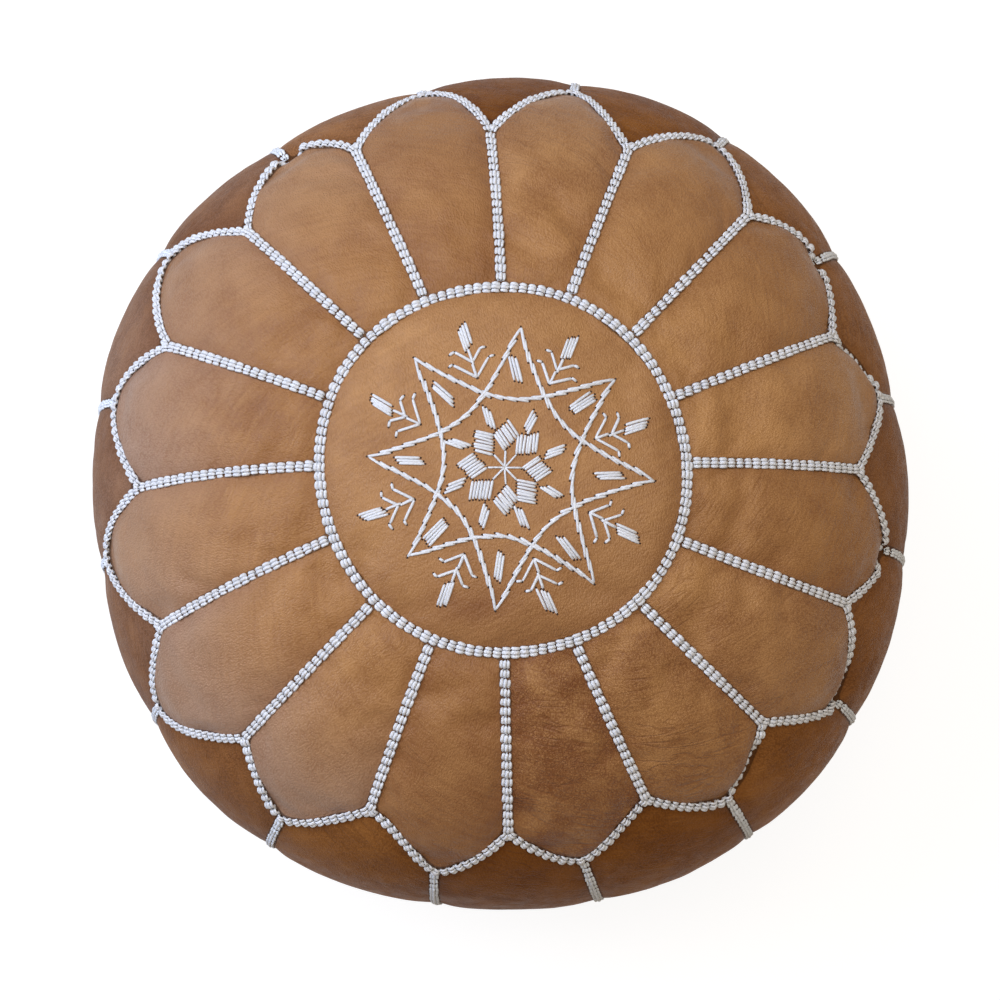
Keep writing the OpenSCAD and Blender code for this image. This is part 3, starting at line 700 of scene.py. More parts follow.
# A leather panel of its real thickness, from a grid of points on its outer face
def leatherPiece(name, panel, tone, crease, paintedSheen, material):
    rows, cols = panel["points"].shape[0] - 1, panel["points"].shape[1] - 1
    piece = meshPiece(name, panel["points"], gridFaces(rows, cols).tolist(), material)
    mesh = piece.data
    corner = np.empty(len(mesh.loops), np.int32)
    mesh.loops.foreach_get("vertex_index", corner)
    mesh.uv_layers.new(name="hide").data.foreach_set("uv", panel["hide"].reshape(-1, 2)[corner].ravel())
    rimAway = rimDistance(panel["points"])
    for label, values in (("tone", tone), ("rimAway", rimAway), ("crease", crease), ("paintedSheen", paintedSheen)):
        values = np.broadcast_to(values, rimAway.shape).ravel().astype(np.float32)
        mesh.attributes.new(label, "FLOAT", "POINT").data.foreach_set("value", values)
    finer = piece.modifiers.new("smooth", "SUBSURF")
    finer.levels = finer.render_levels = 1
    finer.boundary_smooth = "PRESERVE_CORNERS"
    thicken(piece, pouf["leather"], -1)
    return piece


def declare(piece, body, slot, *replaced):
    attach(piece, body)
    if replaced:
        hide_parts(*replaced)


# How light each panel was dyed, how creased it is and how much painted sheen greys it: each list starts
# at +X and goes counter-clockwise
dye = {
    "petal": [0.7, 0.55, 0.55, 0.48, 0.26, 0.44, 0.36, 0.4, 0.42, 0.4, 0.57, 0.32, 0.34, 0.48, 0.6, 0.42],
    "side": [0.6, 1.0, 1.0, 0.45, 0.2, 0.7, 0.15, 0.15, 0.2, 0.28, 0.42, 0.7, 0.45, 0.55, 0.75, 0.75],
    "medallion": [0.53],
    "petalCrease": [0.2, 0.2, 0.15, 0.3, 0.2, 0.15, 0.2, 0.25, 0.15, 0.15, 0.2, 0.3, 1.0, 0.6, 0.4, 0.3],
    "sideCrease": 0.35,
    "medallionCrease": 0.12,
    "medallionBackLight": 1.2,  # painted light: lighter for each metre toward the back, where the lamps stand
    "stainAt": (-17 * mm, -84 * mm),  # a dark mark in the hide, near the star's front point
    "stainSize": (24 * mm, 9 * mm),
    "stainDepth": 0.4,
    "paintedSheenAtTip": 1.6,  # a petal's painted sheen is stronger toward its outer end
    "paintedSheenSlope": 1.2,
    # the painted sheen, the cool light's reflection, is strongest on the panels to the left
    "petalHaze": [0.1, 0.05, 0.1, 0.1, 0.1, 0.2, 0.3, 0.5, 0.3, 0.4, 0.4, 0.05, 0, 0, 0.1, 0],
    "medallionHaze": [0.05],
    "sideHaze": [0.2, 0.2, 0.2, 0, 0, 0.2, 0.25, 0.4, 0.45, 0.3, 0.1, 0.05, 0, 0, 0.05, 0.15],
}

leatherPieces = {}
for panel in cover:
    kind, number = panel["kind"], panel["number"]
    nodeName = {"petal": f"petal_{number + 1:02d}", "side": f"side_panel_{number + 1:02d}",
                "medallion": "top_medallion"}[kind]
    crease = dye["petalCrease"][number] if kind == "petal" else dye[kind + "Crease"]
    paintedSheen = dye[kind + "Haze"][number]
    if kind == "petal":
        paintedSheen = paintedSheen * dye["paintedSheenAtTip"] * smooth(dye["paintedSheenSlope"] * (panel["out"] - 1) + 1)
    material = shadedSideLeather if kind == "side" else topLeather
    tone = dye[kind][number]
    if kind == "medallion":
        spot = (panel["points"][..., :2] - dye["stainAt"]) / dye["stainSize"]
        # painted light: the medallion's tone grows lighter toward the back
        tone = tone + dye["medallionBackLight"] * panel["points"][..., 1]
        tone = tone - dye["stainDepth"] * np.exp(-(spot ** 2).sum(-1))
    piece = leatherPiece(nodeName + "_leather", panel, tone, crease, paintedSheen, material)
    declare(piece, "pouf", "side_leather" if kind == "side" else "top_leather", nodeName)
    leatherPieces[nodeName] = piece
print("leather pieces:", len(leatherPieces))

# Base: two half rounds on the floor, drawn up beside the zip
base = {
    "grid": (22, 72),
    "hemHalfWidth": 16 * mm,
    "hollowHalfWidth": 48 * mm,
    "slotHalfWidth": 8 * mm,
    "recess": 8 * mm,
    "endAngle": math.radians(6),
    "crowding": 1.4,
    "wrinkles": 0.9 * mm,
    "wrinkleSize": 28 * mm,
    "rimFade": 20 * mm,
    "slotFade": 14 * mm,
    "tone": 0.45,
    "crease": 0.1,
}


def baseHeight(x, y):
    r = np.hypot(x, y)
    low = np.interp(r, outlineR[:len(crownTurn) - 1:-1], outlineZ[:len(crownTurn) - 1:-1])
    low = np.where(r <= floorRadius, 0, low)
    slope = base["hollowHalfWidth"] - base["hemHalfWidth"]
    drawn = 1 - smooth((np.abs(y) - base["hemHalfWidth"]) / slope)
    return low + np.maximum(0, base["recess"] - low) * drawn


def baseHalf(side):
    rows, cols = base["grid"]
    i, j = np.meshgrid(np.arange(rows + 1) / rows, np.arange(cols + 1) / cols, indexing="ij")
    angle = math.pi - base["endAngle"] - (math.pi - 2 * base["endAngle"]) * j
    rim = radiusAt(baseAt + panels["seamGap"])
    x = rim * np.cos(angle)
    y = base["slotHalfWidth"] + (rim * np.sin(angle) - base["slotHalfWidth"]) * i ** base["crowding"]
    z = baseHeight(x, y)
    spots = np.stack([side * x, side * y, 0 * x], -1).reshape(-1, 3)
    rumple = [max(0.0, noise.noise(Vector(spot) / base["wrinkleSize"])) for spot in spots]
    fromRim, fromSlot = rim - np.hypot(x, y), y - base["slotHalfWidth"]
    inward = smooth(fromRim / base["rimFade"]) * smooth(fromSlot / base["slotFade"])
    z = z + base["wrinkles"] * np.reshape(rumple, x.shape) * inward
    points = np.stack([side * x, side * y, z], -1)
    return {"points": points, "hide": np.stack([x, y], -1)}


basePieces = {}
for label, side in (("front", -1), ("back", 1)):
    half = baseHalf(side)
    piece = leatherPiece(f"base_half_{label}_leather", half, base["tone"], base["crease"], 0.0, shadedSideLeather)
    declare(piece, "pouf", "side_leather", "base_half_" + label)
    basePieces[label] = piece
print("base made")


# Seams: a braid of short beads, each of three strands drawn together at its ends
braid = {
    "spacing": 5.5 * mm,
    "beadLength": 4.75 * mm,  # between the middles of its ends
    "beadWidth": 7.3 * mm,
    "strand": 3.05 * mm,
    "flatness": 0.72,
    "arch": 1.9 * mm,
    "dive": -0.9 * mm,  # a bead's ends go into the leather
    "pinch": 0.8,
    "flare": 1.12,  # above 1 gives a bead steep ends
    "lift": -0.2 * mm,
    "sunk": {"side_seams": 0.6 * mm},
    "sizes": {"ring_seam": 1.08, "side_seams": 0.9},  # of their beads, against the others
    "stretches": {"side_seams": 1.15},  # of their beads' lengths
    "notch": 0.7 * mm,  # a dark gap where a petal seam meets the ring
    "sideShort": 0.36,  # how much shorter and lower a bead's outer strands are
    "sideLow": 0.5,
    "endTaper": 0.7,
    "jitter": 0.09,
    "slant": 9.0,  # degrees that the beads of a seam may lie askew
    "seed": 11,
}


def newTree(name, inputs):
    tree = bpy.data.node_groups.new(name, "GeometryNodeTree")
    tree.interface.new_socket("Geometry", in_out="INPUT", socket_type="NodeSocketGeometry")
    for label, kind in inputs:
        tree.interface.new_socket(label, in_out="INPUT", socket_type="NodeSocket" + kind)
    tree.interface.new_socket("Geometry", in_out="OUTPUT", socket_type="NodeSocketGeometry")
    return tree, add(tree, "NodeGroupInput").outputs


def closeTree(tree, geometry, material):
    real = add(tree, "GeometryNodeRealizeInstances", {"Geometry": geometry})
    shaded = add(tree, "GeometryNodeSetShadeSmooth", {"Geometry": real})
    painted = add(tree, "GeometryNodeSetMaterial", {"Geometry": shaded, "Material": material})
    add(tree, "NodeGroupOutput", {"Geometry": painted})


# Thread swept along curves, with its twist's directions kept for the material
def sweptThread(tree, curve, radius, flatness, scale, sides=6):
    along = add(tree, "GeometryNodeSplineParameter").outputs["Length"]
    kept = add(tree, "GeometryNodeStoreNamedAttribute",
               {"Geometry": curve, "Name": "strandAlong", "Value": along},
               data_type="FLOAT", domain="POINT")
    ring = add(tree, "GeometryNodeCurvePrimitiveCircle", {"Resolution": sides, "Radius": radius},
               mode="RADIUS")
    pressed = add(tree, "ShaderNodeCombineXYZ", {"X": 1.0, "Y": flatness, "Z": 1.0})
    oval = add(tree, "GeometryNodeTransform", {"Geometry": ring, "Scale": pressed})
    level = add(tree, "GeometryNodeSetCurveNormal", {"Curve": kept}, mode="Z_UP")
    around = add(tree, "GeometryNodeSplineParameter").outputs["Factor"]
    ringKept = add(tree, "GeometryNodeStoreNamedAttribute",
                   {"Geometry": oval, "Name": "strandAround", "Value": around},
                   data_type="FLOAT", domain="POINT")
    return add(tree, "GeometryNodeCurveToMesh",
               {"Curve": level, "Profile Curve": ringKept, "Scale": scale, "Fill Caps": True})


# A strand's curve has two handles, so the middle lies a quarter of the ends and three quarters of
# the handles: rise and widen work back from the middle to the handles
def braidTree():
    sizes = ("Spacing", "Bead length", "Bead width", "Strand", "Flatness", "Arch", "Dive", "Pinch", "Flare",
             "Jitter")
    tree, given = newTree("braidedSeam",
                          [(label, "Float") for label in sizes] + [("Seed", "Int"), ("Thread", "Material")])
    halfLength = add(tree, "ShaderNodeMath", {0: given["Bead length"], 1: 0.5}, operation="MULTIPLY")
    backLength = add(tree, "ShaderNodeMath", {0: halfLength, 1: -1.0}, operation="MULTIPLY")
    sunk = add(tree, "ShaderNodeMath", {0: given["Dive"], 1: -1 / 3}, operation="MULTIPLY")
    rise = add(tree, "ShaderNodeMath", {0: given["Arch"], 1: 4 / 3, 2: sunk}, operation="MULTIPLY_ADD")
    room = add(tree, "ShaderNodeMath", {0: given["Bead width"], 1: given["Strand"]}, operation="SUBTRACT")
    thin = add(tree, "ShaderNodeMath", {0: given["Strand"], 1: 0.5}, operation="MULTIPLY")
    widen = add(tree, "ShaderNodeMath", {0: given["Pinch"], 1: -1 / 3, 2: 4 / 3}, operation="MULTIPLY_ADD")
    factor = add(tree, "GeometryNodeSplineParameter").outputs["Factor"]
    halfTurn = add(tree, "ShaderNodeMath", {0: factor, 1: math.pi}, operation="MULTIPLY")
    swell = add(tree, "ShaderNodeMath", {0: halfTurn}, operation="SINE")
    taper = add(tree, "ShaderNodeMath", {0: swell, 1: 1 - braid["endTaper"], 2: braid["endTaper"]},
                operation="MULTIPLY_ADD")
    join = add(tree, "GeometryNodeJoinGeometry")
    for share in (-0.5, 0.0, 0.5):
        shorter, lower = (1.0 - braid[label] * abs(share) for label in ("sideShort", "sideLow"))
        ends = [add(tree, "ShaderNodeMath", {0: end, 1: shorter}, operation="MULTIPLY")
                for end in (backLength, halfLength)]
        flared = [add(tree, "ShaderNodeMath", {0: end, 1: given["Flare"]}, operation="MULTIPLY")
                  for end in ends]
        wide = add(tree, "ShaderNodeMath", {0: room, 1: share}, operation="MULTIPLY")
        drawn = add(tree, "ShaderNodeMath", {0: wide, 1: given["Pinch"]}, operation="MULTIPLY")
        bowed = add(tree, "ShaderNodeMath", {0: wide, 1: widen}, operation="MULTIPLY")
        crown = add(tree, "ShaderNodeMath", {0: rise, 1: lower}, operation="MULTIPLY")
        corners = {"Start": (drawn, ends[0], given["Dive"]), "Start Handle": (bowed, flared[0], crown),
                   "End Handle": (bowed, flared[1], crown), "End": (drawn, ends[1], given["Dive"])}
        corners = {label: add(tree, "ShaderNodeCombineXYZ", dict(zip("XYZ", spot)))
                   for label, spot in corners.items()}
        arc = add(tree, "GeometryNodeCurvePrimitiveBezierSegment", {**corners, "Resolution": 5},
                  mode="POSITION")
        strand = sweptThread(tree, arc, thin, given["Flatness"], taper)
        tree.links.new(strand.outputs[0], join.inputs[0])
    line = add(tree, "GeometryNodeMeshToCurve", {"Mesh": given["Geometry"]})
    spaced = add(tree, "GeometryNodeResampleCurve", {"Curve": line, "Length": given["Spacing"]},
                 mode="LENGTH")
    up = add(tree, "GeometryNodeInputNamedAttribute", {"Name": "up"}, data_type="FLOAT_VECTOR")
    tangent = add(tree, "GeometryNodeInputTangent")
    nextSeed = add(tree, "ShaderNodeMath", {0: given["Seed"], 1: 1.0}, operation="ADD")
    facing = add(tree, "FunctionNodeAxesToRotation", {"Primary Axis": up, "Secondary Axis": tangent},
                 primary_axis="Z", secondary_axis="Y")
    draws = [add(tree, "FunctionNodeRandomValue", {"Min": (-1, -1, -1), "Max": (1, 1, 1), "Seed": seed},
                 data_type="FLOAT_VECTOR") for seed in (given["Seed"], nextSeed)]
    tilt = add(tree, "ShaderNodeVectorMath", {0: draws[0], "Scale": given["Jitter"]}, operation="SCALE")
    slant = add(tree, "GeometryNodeInputNamedAttribute", {"Name": "slant"}, data_type="FLOAT")
    askew = add(tree, "ShaderNodeCombineXYZ", {"Z": slant})
    turned = add(tree, "ShaderNodeVectorMath", {0: tilt, 1: askew}, operation="ADD")
    loose = add(tree, "FunctionNodeEulerToRotation", {"Euler": turned})
    placed = add(tree, "FunctionNodeRotateRotation", {"Rotation": facing, "Rotate By": loose},
                 rotation_space="LOCAL")
    parts = add(tree, "ShaderNodeSeparateXYZ", {0: draws[1]}).outputs
    size = add(tree, "ShaderNodeMath", {0: parts["X"], 1: given["Jitter"], 2: 1.0},
               operation="MULTIPLY_ADD")
    beads = add(tree, "GeometryNodeInstanceOnPoints",
                {"Points": spaced, "Instance": join, "Rotation": placed, "Scale": size})
    shade = add(tree, "ShaderNodeMath", {0: parts["Y"], 1: 0.5, 2: 0.5}, operation="MULTIPLY_ADD")
    toned = add(tree, "GeometryNodeStoreNamedAttribute",
                {"Geometry": beads, "Name": "beadTone", "Value": shade},
                data_type="FLOAT", domain="INSTANCE")
    closeTree(tree, toned, given["Thread"])
    return tree


# Runs a node tree on a mesh and keeps the result as a plain mesh
def grow(name, mesh, tree, values):
    source = bpy.data.objects.new(name + "_source", mesh)
    scene.collection.objects.link(source)
    modifier = source.modifiers.new("grown", "NODES")
    modifier.node_group = tree
    sockets = {item.name: item.identifier for item in tree.interface.items_tree if item.in_out == "INPUT"}
    for label, value in values.items():
        modifier[sockets[label]] = value
    bpy.context.view_layer.update()
    grown = bpy.data.meshes.new_from_object(source.evaluated_get(bpy.context.evaluated_depsgraph_get()))
    source.modifiers.remove(modifier)
    bpy.data.objects.remove(source)
    bpy.data.meshes.remove(mesh)
    grown.name = name
    piece = bpy.data.objects.new(name, grown)
    scene.collection.objects.link(piece)
    return piece


# Edges along several lines of points, with a named vector or number at every point
def lineMesh(name, lines, closed=False, **kept):
    mesh = bpy.data.meshes.new(name)
    points, edges = [], []
    for line in lines:
        first = len(points)
        points.extend(np.asarray(line).tolist())
        edges.extend((first + i, first + i + 1) for i in range(len(line) - 1))
        if closed:
            edges.append((len(points) - 1, first))
    mesh.from_pydata(points, edges, [])
    for label, values in kept.items():
        values = np.concatenate([np.asarray(v, np.float32) for v in values])
        if values.ndim == 2:
            mesh.attributes.new(label, "FLOAT_VECTOR", "POINT").data.foreach_set("vector", values.ravel())
        else:
            mesh.attributes.new(label, "FLOAT", "POINT").data.foreach_set("value", values)
    return mesh


# The seams' courses, each a list of places and angles on the leather
def seamCourses():
    t = np.linspace(0, 1, 40)
    halfBead, halfSeam = braid["spacing"] / 2, braid["beadWidth"] / 2
    around = np.linspace(0, 2 * math.pi, 240, endpoint=False)
    courses = {"ring_seam": [(ringPlace(around), around)],
               "base_seam": [(0 * around + baseAt, around)],
               "petal_seams": [], "petal_edge_seams": [], "side_seams": []}
    for k in range(pouf["panels"]):
        ring = ringPlace(ringAngle(k))
        start, end = ring + halfSeam + halfBead + braid["notch"], valleyPlace(k) - halfBead
        places = start + (end - start) * t
        share = (places - ring) / (valleyPlace(k) - ring)
        courses["petal_seams"].append((places, ringAngle(k) + (valleyAngle(k) - ringAngle(k)) * share))
        courses["petal_edge_seams"].append(petalEdge(k, np.linspace(-0.95, 0.95, 80)))
        tipS, tipAngle = petalEdge(k, np.array(0.0))
        start, end = tipS + halfSeam + halfBead, baseAt - halfSeam - halfBead
        places = start + (end - start) * t
        share = (places - tipS) / (baseAt - tipS)
        turned = (baseAngle(k) - tipAngle) * share ** pouf["sideFall"]
        courses["side_seams"].append((places, tipAngle + turned))
    return courses


seamTree = braidTree()
seamInputs = {"Spacing": "spacing", "Bead length": "beadLength", "Bead width": "beadWidth",
              "Strand": "strand", "Flatness": "flatness", "Arch": "arch", "Dive": "dive", "Pinch": "pinch",
              "Flare": "flare", "Jitter": "jitter", "Seed": "seed"}
seamValues = {label: braid[size] for label, size in seamInputs.items()}
askew = np.random.default_rng(braid["seed"])
for nodeName, courses in seamCourses().items():
    lift = braid["lift"] - braid["sunk"].get(nodeName, 0.0)
    lines = [onPouf(s, angle, lift - tucked["buried"] * tuck(s, angle)) for s, angle in courses]
    ups = [outOfPouf(s, angle) for s, angle in courses]
    slants = [np.full(len(line), math.radians(askew.uniform(-braid["slant"], braid["slant"])))
              for line in lines]
    mesh = lineMesh(nodeName + "_line", lines, nodeName in ("ring_seam", "base_seam"), up=ups, slant=slants)
    size = braid["sizes"].get(nodeName, 1.0)
    sized = {label: seamValues[label] * size for label in ("Bead width", "Strand", "Arch")}
    stretch = braid["stretches"].get(nodeName, 1.0)
    sized.update({label: seamValues[label] * stretch for label in ("Spacing", "Bead length")})
    sized["Thread"] = litSideThread if nodeName == "side_seams" else whiteThread
    piece = grow(nodeName + "_braid", mesh, seamTree, {**seamValues, **sized})
    declare(piece, "pouf", "white_thread", nodeName)
    print(piece.name, len(piece.data.polygons), "faces")

# Embroidery on the medallion, worked in single threads
embroidery = {
    "middle": (0.8 * mm, -1.0 * mm),
    "turn": -1.0,  # degrees, the whole design
    "threadWidth": 1.8 * mm,
    "flatness": 0.5,
    "lifts": [-0.5 * mm, 0.3 * mm, 0.6 * mm, 0.7 * mm, 0.6 * mm, 0.3 * mm, -0.5 * mm],
    "fullness": [0.6, 0.9, 1, 1, 1, 0.9, 0.6],
    "places": [0, 0.06, 0.2, 0.5, 0.8, 0.94, 1],
    "unevenness": 0.2 * mm,
    "lengths": (0.94, 1.06),  # how threads differ, as shares
    "widths": (0.9, 1.08),
    "holeBeyond": 0.4 * mm,
    "holeLift": 0.03 * mm,
    "holeWidth": 1.4 * mm,
    "holeDepth": 0.12 * mm,
    "holeShadowMottle": 0.8 * mm,
    "seed": 5,
}
rosette = {
    "spokeTurns": [0, 4, 0, -3, 0, 1, 5, -1],  # degrees from each eighth
    "spokeLength": 10.4 * mm,
    "petalFrom": 10.6 * mm,
    "petalEdge": 11.5 * mm,
    "petalThreads": (6, 7),
    "petalLengths": (0.95, 1.05),
    "spokeFullness": 0.72,
    "petalLay": 34.0,
    "petalStack": -45.0,
    "seedTurns": [17.5, 60.5, 107.5, 153, 200, 247, 289, 333],
    "seedAt": 31.5 * mm,
    "seedLength": 12 * mm,
    "seedSpacing": 1.6 * mm,
    "seedThreads": 3,
    "seedSway": (-8, 8),  # degrees
    "seedSlants": (0.6, 1.2),
    "pointSeedAt": [60, 61, 63, 61, 59, 56, 57, 58],  # millimetres
    "pointSeedTurns": [20, -5, 7, 0, -6, 2, 2, 8],  # degrees
    "pointSeedLength": 16.3 * mm,
    "pointSeedSpacing": 1.7 * mm,
    "pointSeedThreads": (3, 5),  # fewer than the second
    "pointSeedSlants": (-0.9, 0.9),
}
star = {
    "turns": [84, 40, -4, -51.5, -93, -137, -184.5, -230.5],  # degrees, clockwise from the top point
    "reach": [85.5, 86, 90, 87, 85, 78, 82, 86],  # millimetres
    "waist": 39.8 * mm,
    "slope": 0.494,
    "bend": 24 * mm,
    "halfSide": 59.7 * mm,
    "stitch": 14 * mm,
    "advance": 7.6 * mm,
    "aside": 1.0 * mm,
}
sprig = {
    "stem": (57 * mm, 75.5 * mm),
    "forks": {57 * mm: 15 * mm, 67 * mm: 11.5 * mm},  # places up the stem, and their arms' lengths
    "armTurn": 46.0,
    "hook": 3 * mm,
    "hookTurn": 100.0,
    "budAt": 83 * mm,
    "budLength": 14.3 * mm,
    "budSpacing": 1.65 * mm,
    "budThreads": 4,
    "armLengths": (0.85, 1.1),
    "budSway": (-6, 12),  # degrees
    "budSlants": (0.4, 0.9),
    "stemSway": 0.4,  # degrees between the stem's two stitches
    "stemOverlap": 1 * mm,
}
draw = np.random.default_rng(embroidery["seed"])


def polar(r, degrees):
    a = np.radians(degrees)
    return np.stack([r * np.cos(a), r * np.sin(a)], -1)


# Parallel threads side by side, with slanted ends
def satin(middle, turn, length, count, spacing, slant):
    along, across = polar(1, turn), polar(1, turn + 90)
    made = []
    for i in range(count):
        offset = (i - (count - 1) / 2) * spacing
        centre = middle + (across + along * slant) * offset
        half = along * length / 2 * draw.uniform(*embroidery["lengths"])
        made.append((centre - half, centre + half))
    return made


def rosetteStitches():
    made = []
    for i, turn in enumerate(rosette["spokeTurns"]):
        spoke = 45 * i + turn
        made.append((np.zeros(2), polar(rosette["spokeLength"], spoke), rosette["spokeFullness"]))
        lay = polar(rosette["petalEdge"], spoke + rosette["petalLay"])
        stack = polar(rosette["petalEdge"], spoke + rosette["petalStack"])
        for share in np.linspace(0, 1, draw.choice(rosette["petalThreads"])):
            start = polar(rosette["petalFrom"], spoke) + stack * share
            made.append((start, start + lay * draw.uniform(*rosette["petalLengths"])))
    for turn in rosette["seedTurns"]:
        made += satin(polar(rosette["seedAt"], turn), turn + draw.uniform(*rosette["seedSway"]),
                      rosette["seedLength"], rosette["seedThreads"], rosette["seedSpacing"],
                      draw.uniform(*rosette["seedSlants"]))
    for turn, at, lean in zip(star["turns"], rosette["pointSeedAt"], rosette["pointSeedTurns"]):
        made += satin(polar(at * mm, turn), turn + lean, rosette["pointSeedLength"],
                      int(draw.integers(*rosette["pointSeedThreads"])), rosette["pointSeedSpacing"],
                      draw.uniform(*rosette["pointSeedSlants"]))
    return made


# The star's sides bow in from each point to the next but one, in stem stitch
def starStitches():
    made = []
    points = [polar(r * mm, turn) for r, turn in zip(star["reach"], star["turns"])]
    for i, turn in enumerate(star["turns"]):
        far = star["turns"][(i + 2) % 8] - (360 if i >= 6 else 0)
        middle = (turn + far) / 2
        y = np.linspace(star["halfSide"], -star["halfSide"], 61)
        x = star["waist"] + star["slope"] * (np.sqrt(y * y + star["bend"] ** 2) - star["bend"])
        side = polar(x, middle) + polar(y, middle + 90)
        t = np.linspace(0, 1, 61)[:, None]
        side = side + (1 - t) * (points[i] - side[0]) + t * (points[(i + 2) % 8] - side[-1])
        walked = np.concatenate([[0], np.cumsum(np.linalg.norm(np.diff(side, axis=0), axis=1))])
        count = round((walked[-1] - star["stitch"]) / star["advance"]) + 1
        advance = (walked[-1] - star["stitch"]) / (count - 1)
        for n in range(count):
            start, end = (np.array([np.interp(place, walked, side[:, c]) for c in (0, 1)])
                          for place in (advance * n, advance * n + star["stitch"]))
            along = (end - start) / np.linalg.norm(end - start)
            aside = np.array([-along[1], along[0]]) * star["aside"]
            made.append((start + aside, end - aside))
    return made


def sprigStitches():
    made = []
    for i, turn in enumerate(star["turns"]):
        stem = (turn + star["turns"][(i + 1) % 8] - (360 if i == 7 else 0)) / 2
        low, high = sprig["stem"]
        middle, sway = (low + high) / 2, sprig["stemSway"]
        made.append((polar(low, stem), polar(middle, stem + sway)))
        made.append((polar(middle - sprig["stemOverlap"], stem - sway), polar(high, stem)))
        for fork, arm in sprig["forks"].items():
            for hand in (-1, 1):
                reach = polar(arm * draw.uniform(*sprig["armLengths"]), stem + hand * sprig["armTurn"])
                elbow = polar(fork, stem) + reach
                made.append((polar(fork, stem), elbow))
                made.append((elbow, elbow + polar(sprig["hook"], stem + hand * sprig["hookTurn"])))
        made += satin(polar(sprig["budAt"], stem), stem + draw.uniform(*sprig["budSway"]),
                      sprig["budLength"], sprig["budThreads"], sprig["budSpacing"],
                      draw.choice([-1, 1]) * draw.uniform(*sprig["budSlants"]))
    return made


def threadTree():
    tree, given = newTree("workedThread",
                          [("Width", "Float"), ("Flatness", "Float"), ("Thread", "Material")])
    line = add(tree, "GeometryNodeMeshToCurve", {"Mesh": given["Geometry"]})
    half = add(tree, "ShaderNodeMath", {0: given["Width"], 1: 0.5}, operation="MULTIPLY")
    full = add(tree, "GeometryNodeInputNamedAttribute", {"Name": "fullness"}, data_type="FLOAT")
    closeTree(tree, sweptThread(tree, line, half, given["Flatness"], full), given["Thread"])
    return tree


# Needle holes: small dark cones on the leather where the thread goes through, painted shade standing for
# the holes
def holeTree():
    tree, given = newTree("needleHoleShadows", [("Width", "Float"), ("Depth", "Float"), ("Hole", "Material")])
    half = add(tree, "ShaderNodeMath", {0: given["Width"], 1: 0.5}, operation="MULTIPLY")
    pit = add(tree, "GeometryNodeMeshCone",
              {"Vertices": 8, "Radius Top": 0.0, "Radius Bottom": half, "Depth": given["Depth"]})
    up = add(tree, "GeometryNodeInputNamedAttribute", {"Name": "up"}, data_type="FLOAT_VECTOR")
    facing = add(tree, "FunctionNodeAxesToRotation", {"Primary Axis": up, "Secondary Axis": (1, 0, 0)},
                 primary_axis="Z", secondary_axis="X")
    holes = add(tree, "GeometryNodeInstanceOnPoints",
                {"Points": given["Geometry"], "Instance": pit, "Rotation": facing})
    closeTree(tree, holes, given["Hole"])
    return tree


# The painted shade of a needle hole, mottled from near black to dark brown
def holeShadowMaterial():
    material, tree = newMaterial("needleHoleShadow")
    place = add(tree, "ShaderNodeTexCoord").outputs["Object"]
    shadowMottle = add(tree, "ShaderNodeTexNoise",
                {"Vector": place, "Scale": 1 / embroidery["holeShadowMottle"], "Detail": 2.0})
    colour = add(tree, "ShaderNodeMix", {"Factor": shadowMottle, 6: linear("#1e1009"), 7: linear("#4a2a14")},
                 data_type="RGBA")
    finishMaterial(tree, {"Base Color": colour, "Roughness": 0.8, "IOR": 1.48})
    return material


depsgraph = bpy.context.evaluated_depsgraph_get()
medallionFace = BVHTree.FromObject(leatherPieces["top_medallion"], depsgraph)


def onMedallion(x, y):
    spot, normal, _, _ = medallionFace.ray_cast(Vector((x, y, 1)), Vector((0, 0, -1)))
    return spot, normal


def sew(stitches):
    turn = math.radians(embroidery["turn"])
    spin = np.array([[math.cos(turn), math.sin(turn)], [-math.sin(turn), math.cos(turn)]])
    lines, fullness, tones, ends, ups = [], [], [], [], []
    for start, end, *part in stitches:
        start, end = (np.asarray(spot) @ spin + embroidery["middle"]
                      + draw.normal(0, embroidery["unevenness"], 2) for spot in (start, end))
        line = []
        for t, lift in zip(embroidery["places"], embroidery["lifts"]):
            spot, normal = onMedallion(*(start + (end - start) * t))
            line.append(spot + normal * lift)
        lines.append(line)
        width = draw.uniform(*embroidery["widths"])
        fullness.append(np.array(embroidery["fullness"]) * width * (part[0] if part else 1))
        tones.append(np.full(len(line), draw.uniform(0, 1)))
        beyond = (end - start) / np.linalg.norm(end - start) * embroidery["holeBeyond"]
        for p in (start - beyond, end + beyond):
            spot, normal = onMedallion(*p)
            ends.append(spot + normal * embroidery["holeLift"])
            ups.append(normal)
    return lines, fullness, tones, ends, ups


threads = threadTree()
holePlaces, holeUps = [], []
for nodeName, stitches in (("star_embroidery", starStitches()), ("rosette_embroidery", rosetteStitches()),
                           ("sprig_embroidery", sprigStitches())):
    lines, fullness, tones, ends, ups = sew(stitches)
    mesh = lineMesh(nodeName + "_line", lines, fullness=fullness, beadTone=tones)
    piece = grow(nodeName + "_thread", mesh, threads,
                 {"Width": embroidery["threadWidth"], "Flatness": embroidery["flatness"],
                  "Thread": whiteThread})
    declare(piece, "pouf", "white_thread", nodeName)
    holePlaces += ends
    holeUps += ups
    print(piece.name, len(stitches), "stitches")
mesh = lineMesh("needle_hole_shadows_line", [[spot] for spot in holePlaces], up=[[normal] for normal in holeUps])
holes = grow("needle_hole_shadows", mesh, holeTree(),
             {"Width": embroidery["holeWidth"], "Depth": embroidery["holeDepth"], "Hole": holeShadowMaterial()})
declare(holes, "pouf", "top_leather")


# Unbleached muslin: a pale open weave with slubs
muslin = {
    "waveScale": 0.16 / mm,  # threads 2 mm apart, drawn coarser than the real 0.5 mm
    "slubSize": 6 * mm,
    "relief": 0.3 * mm,
}


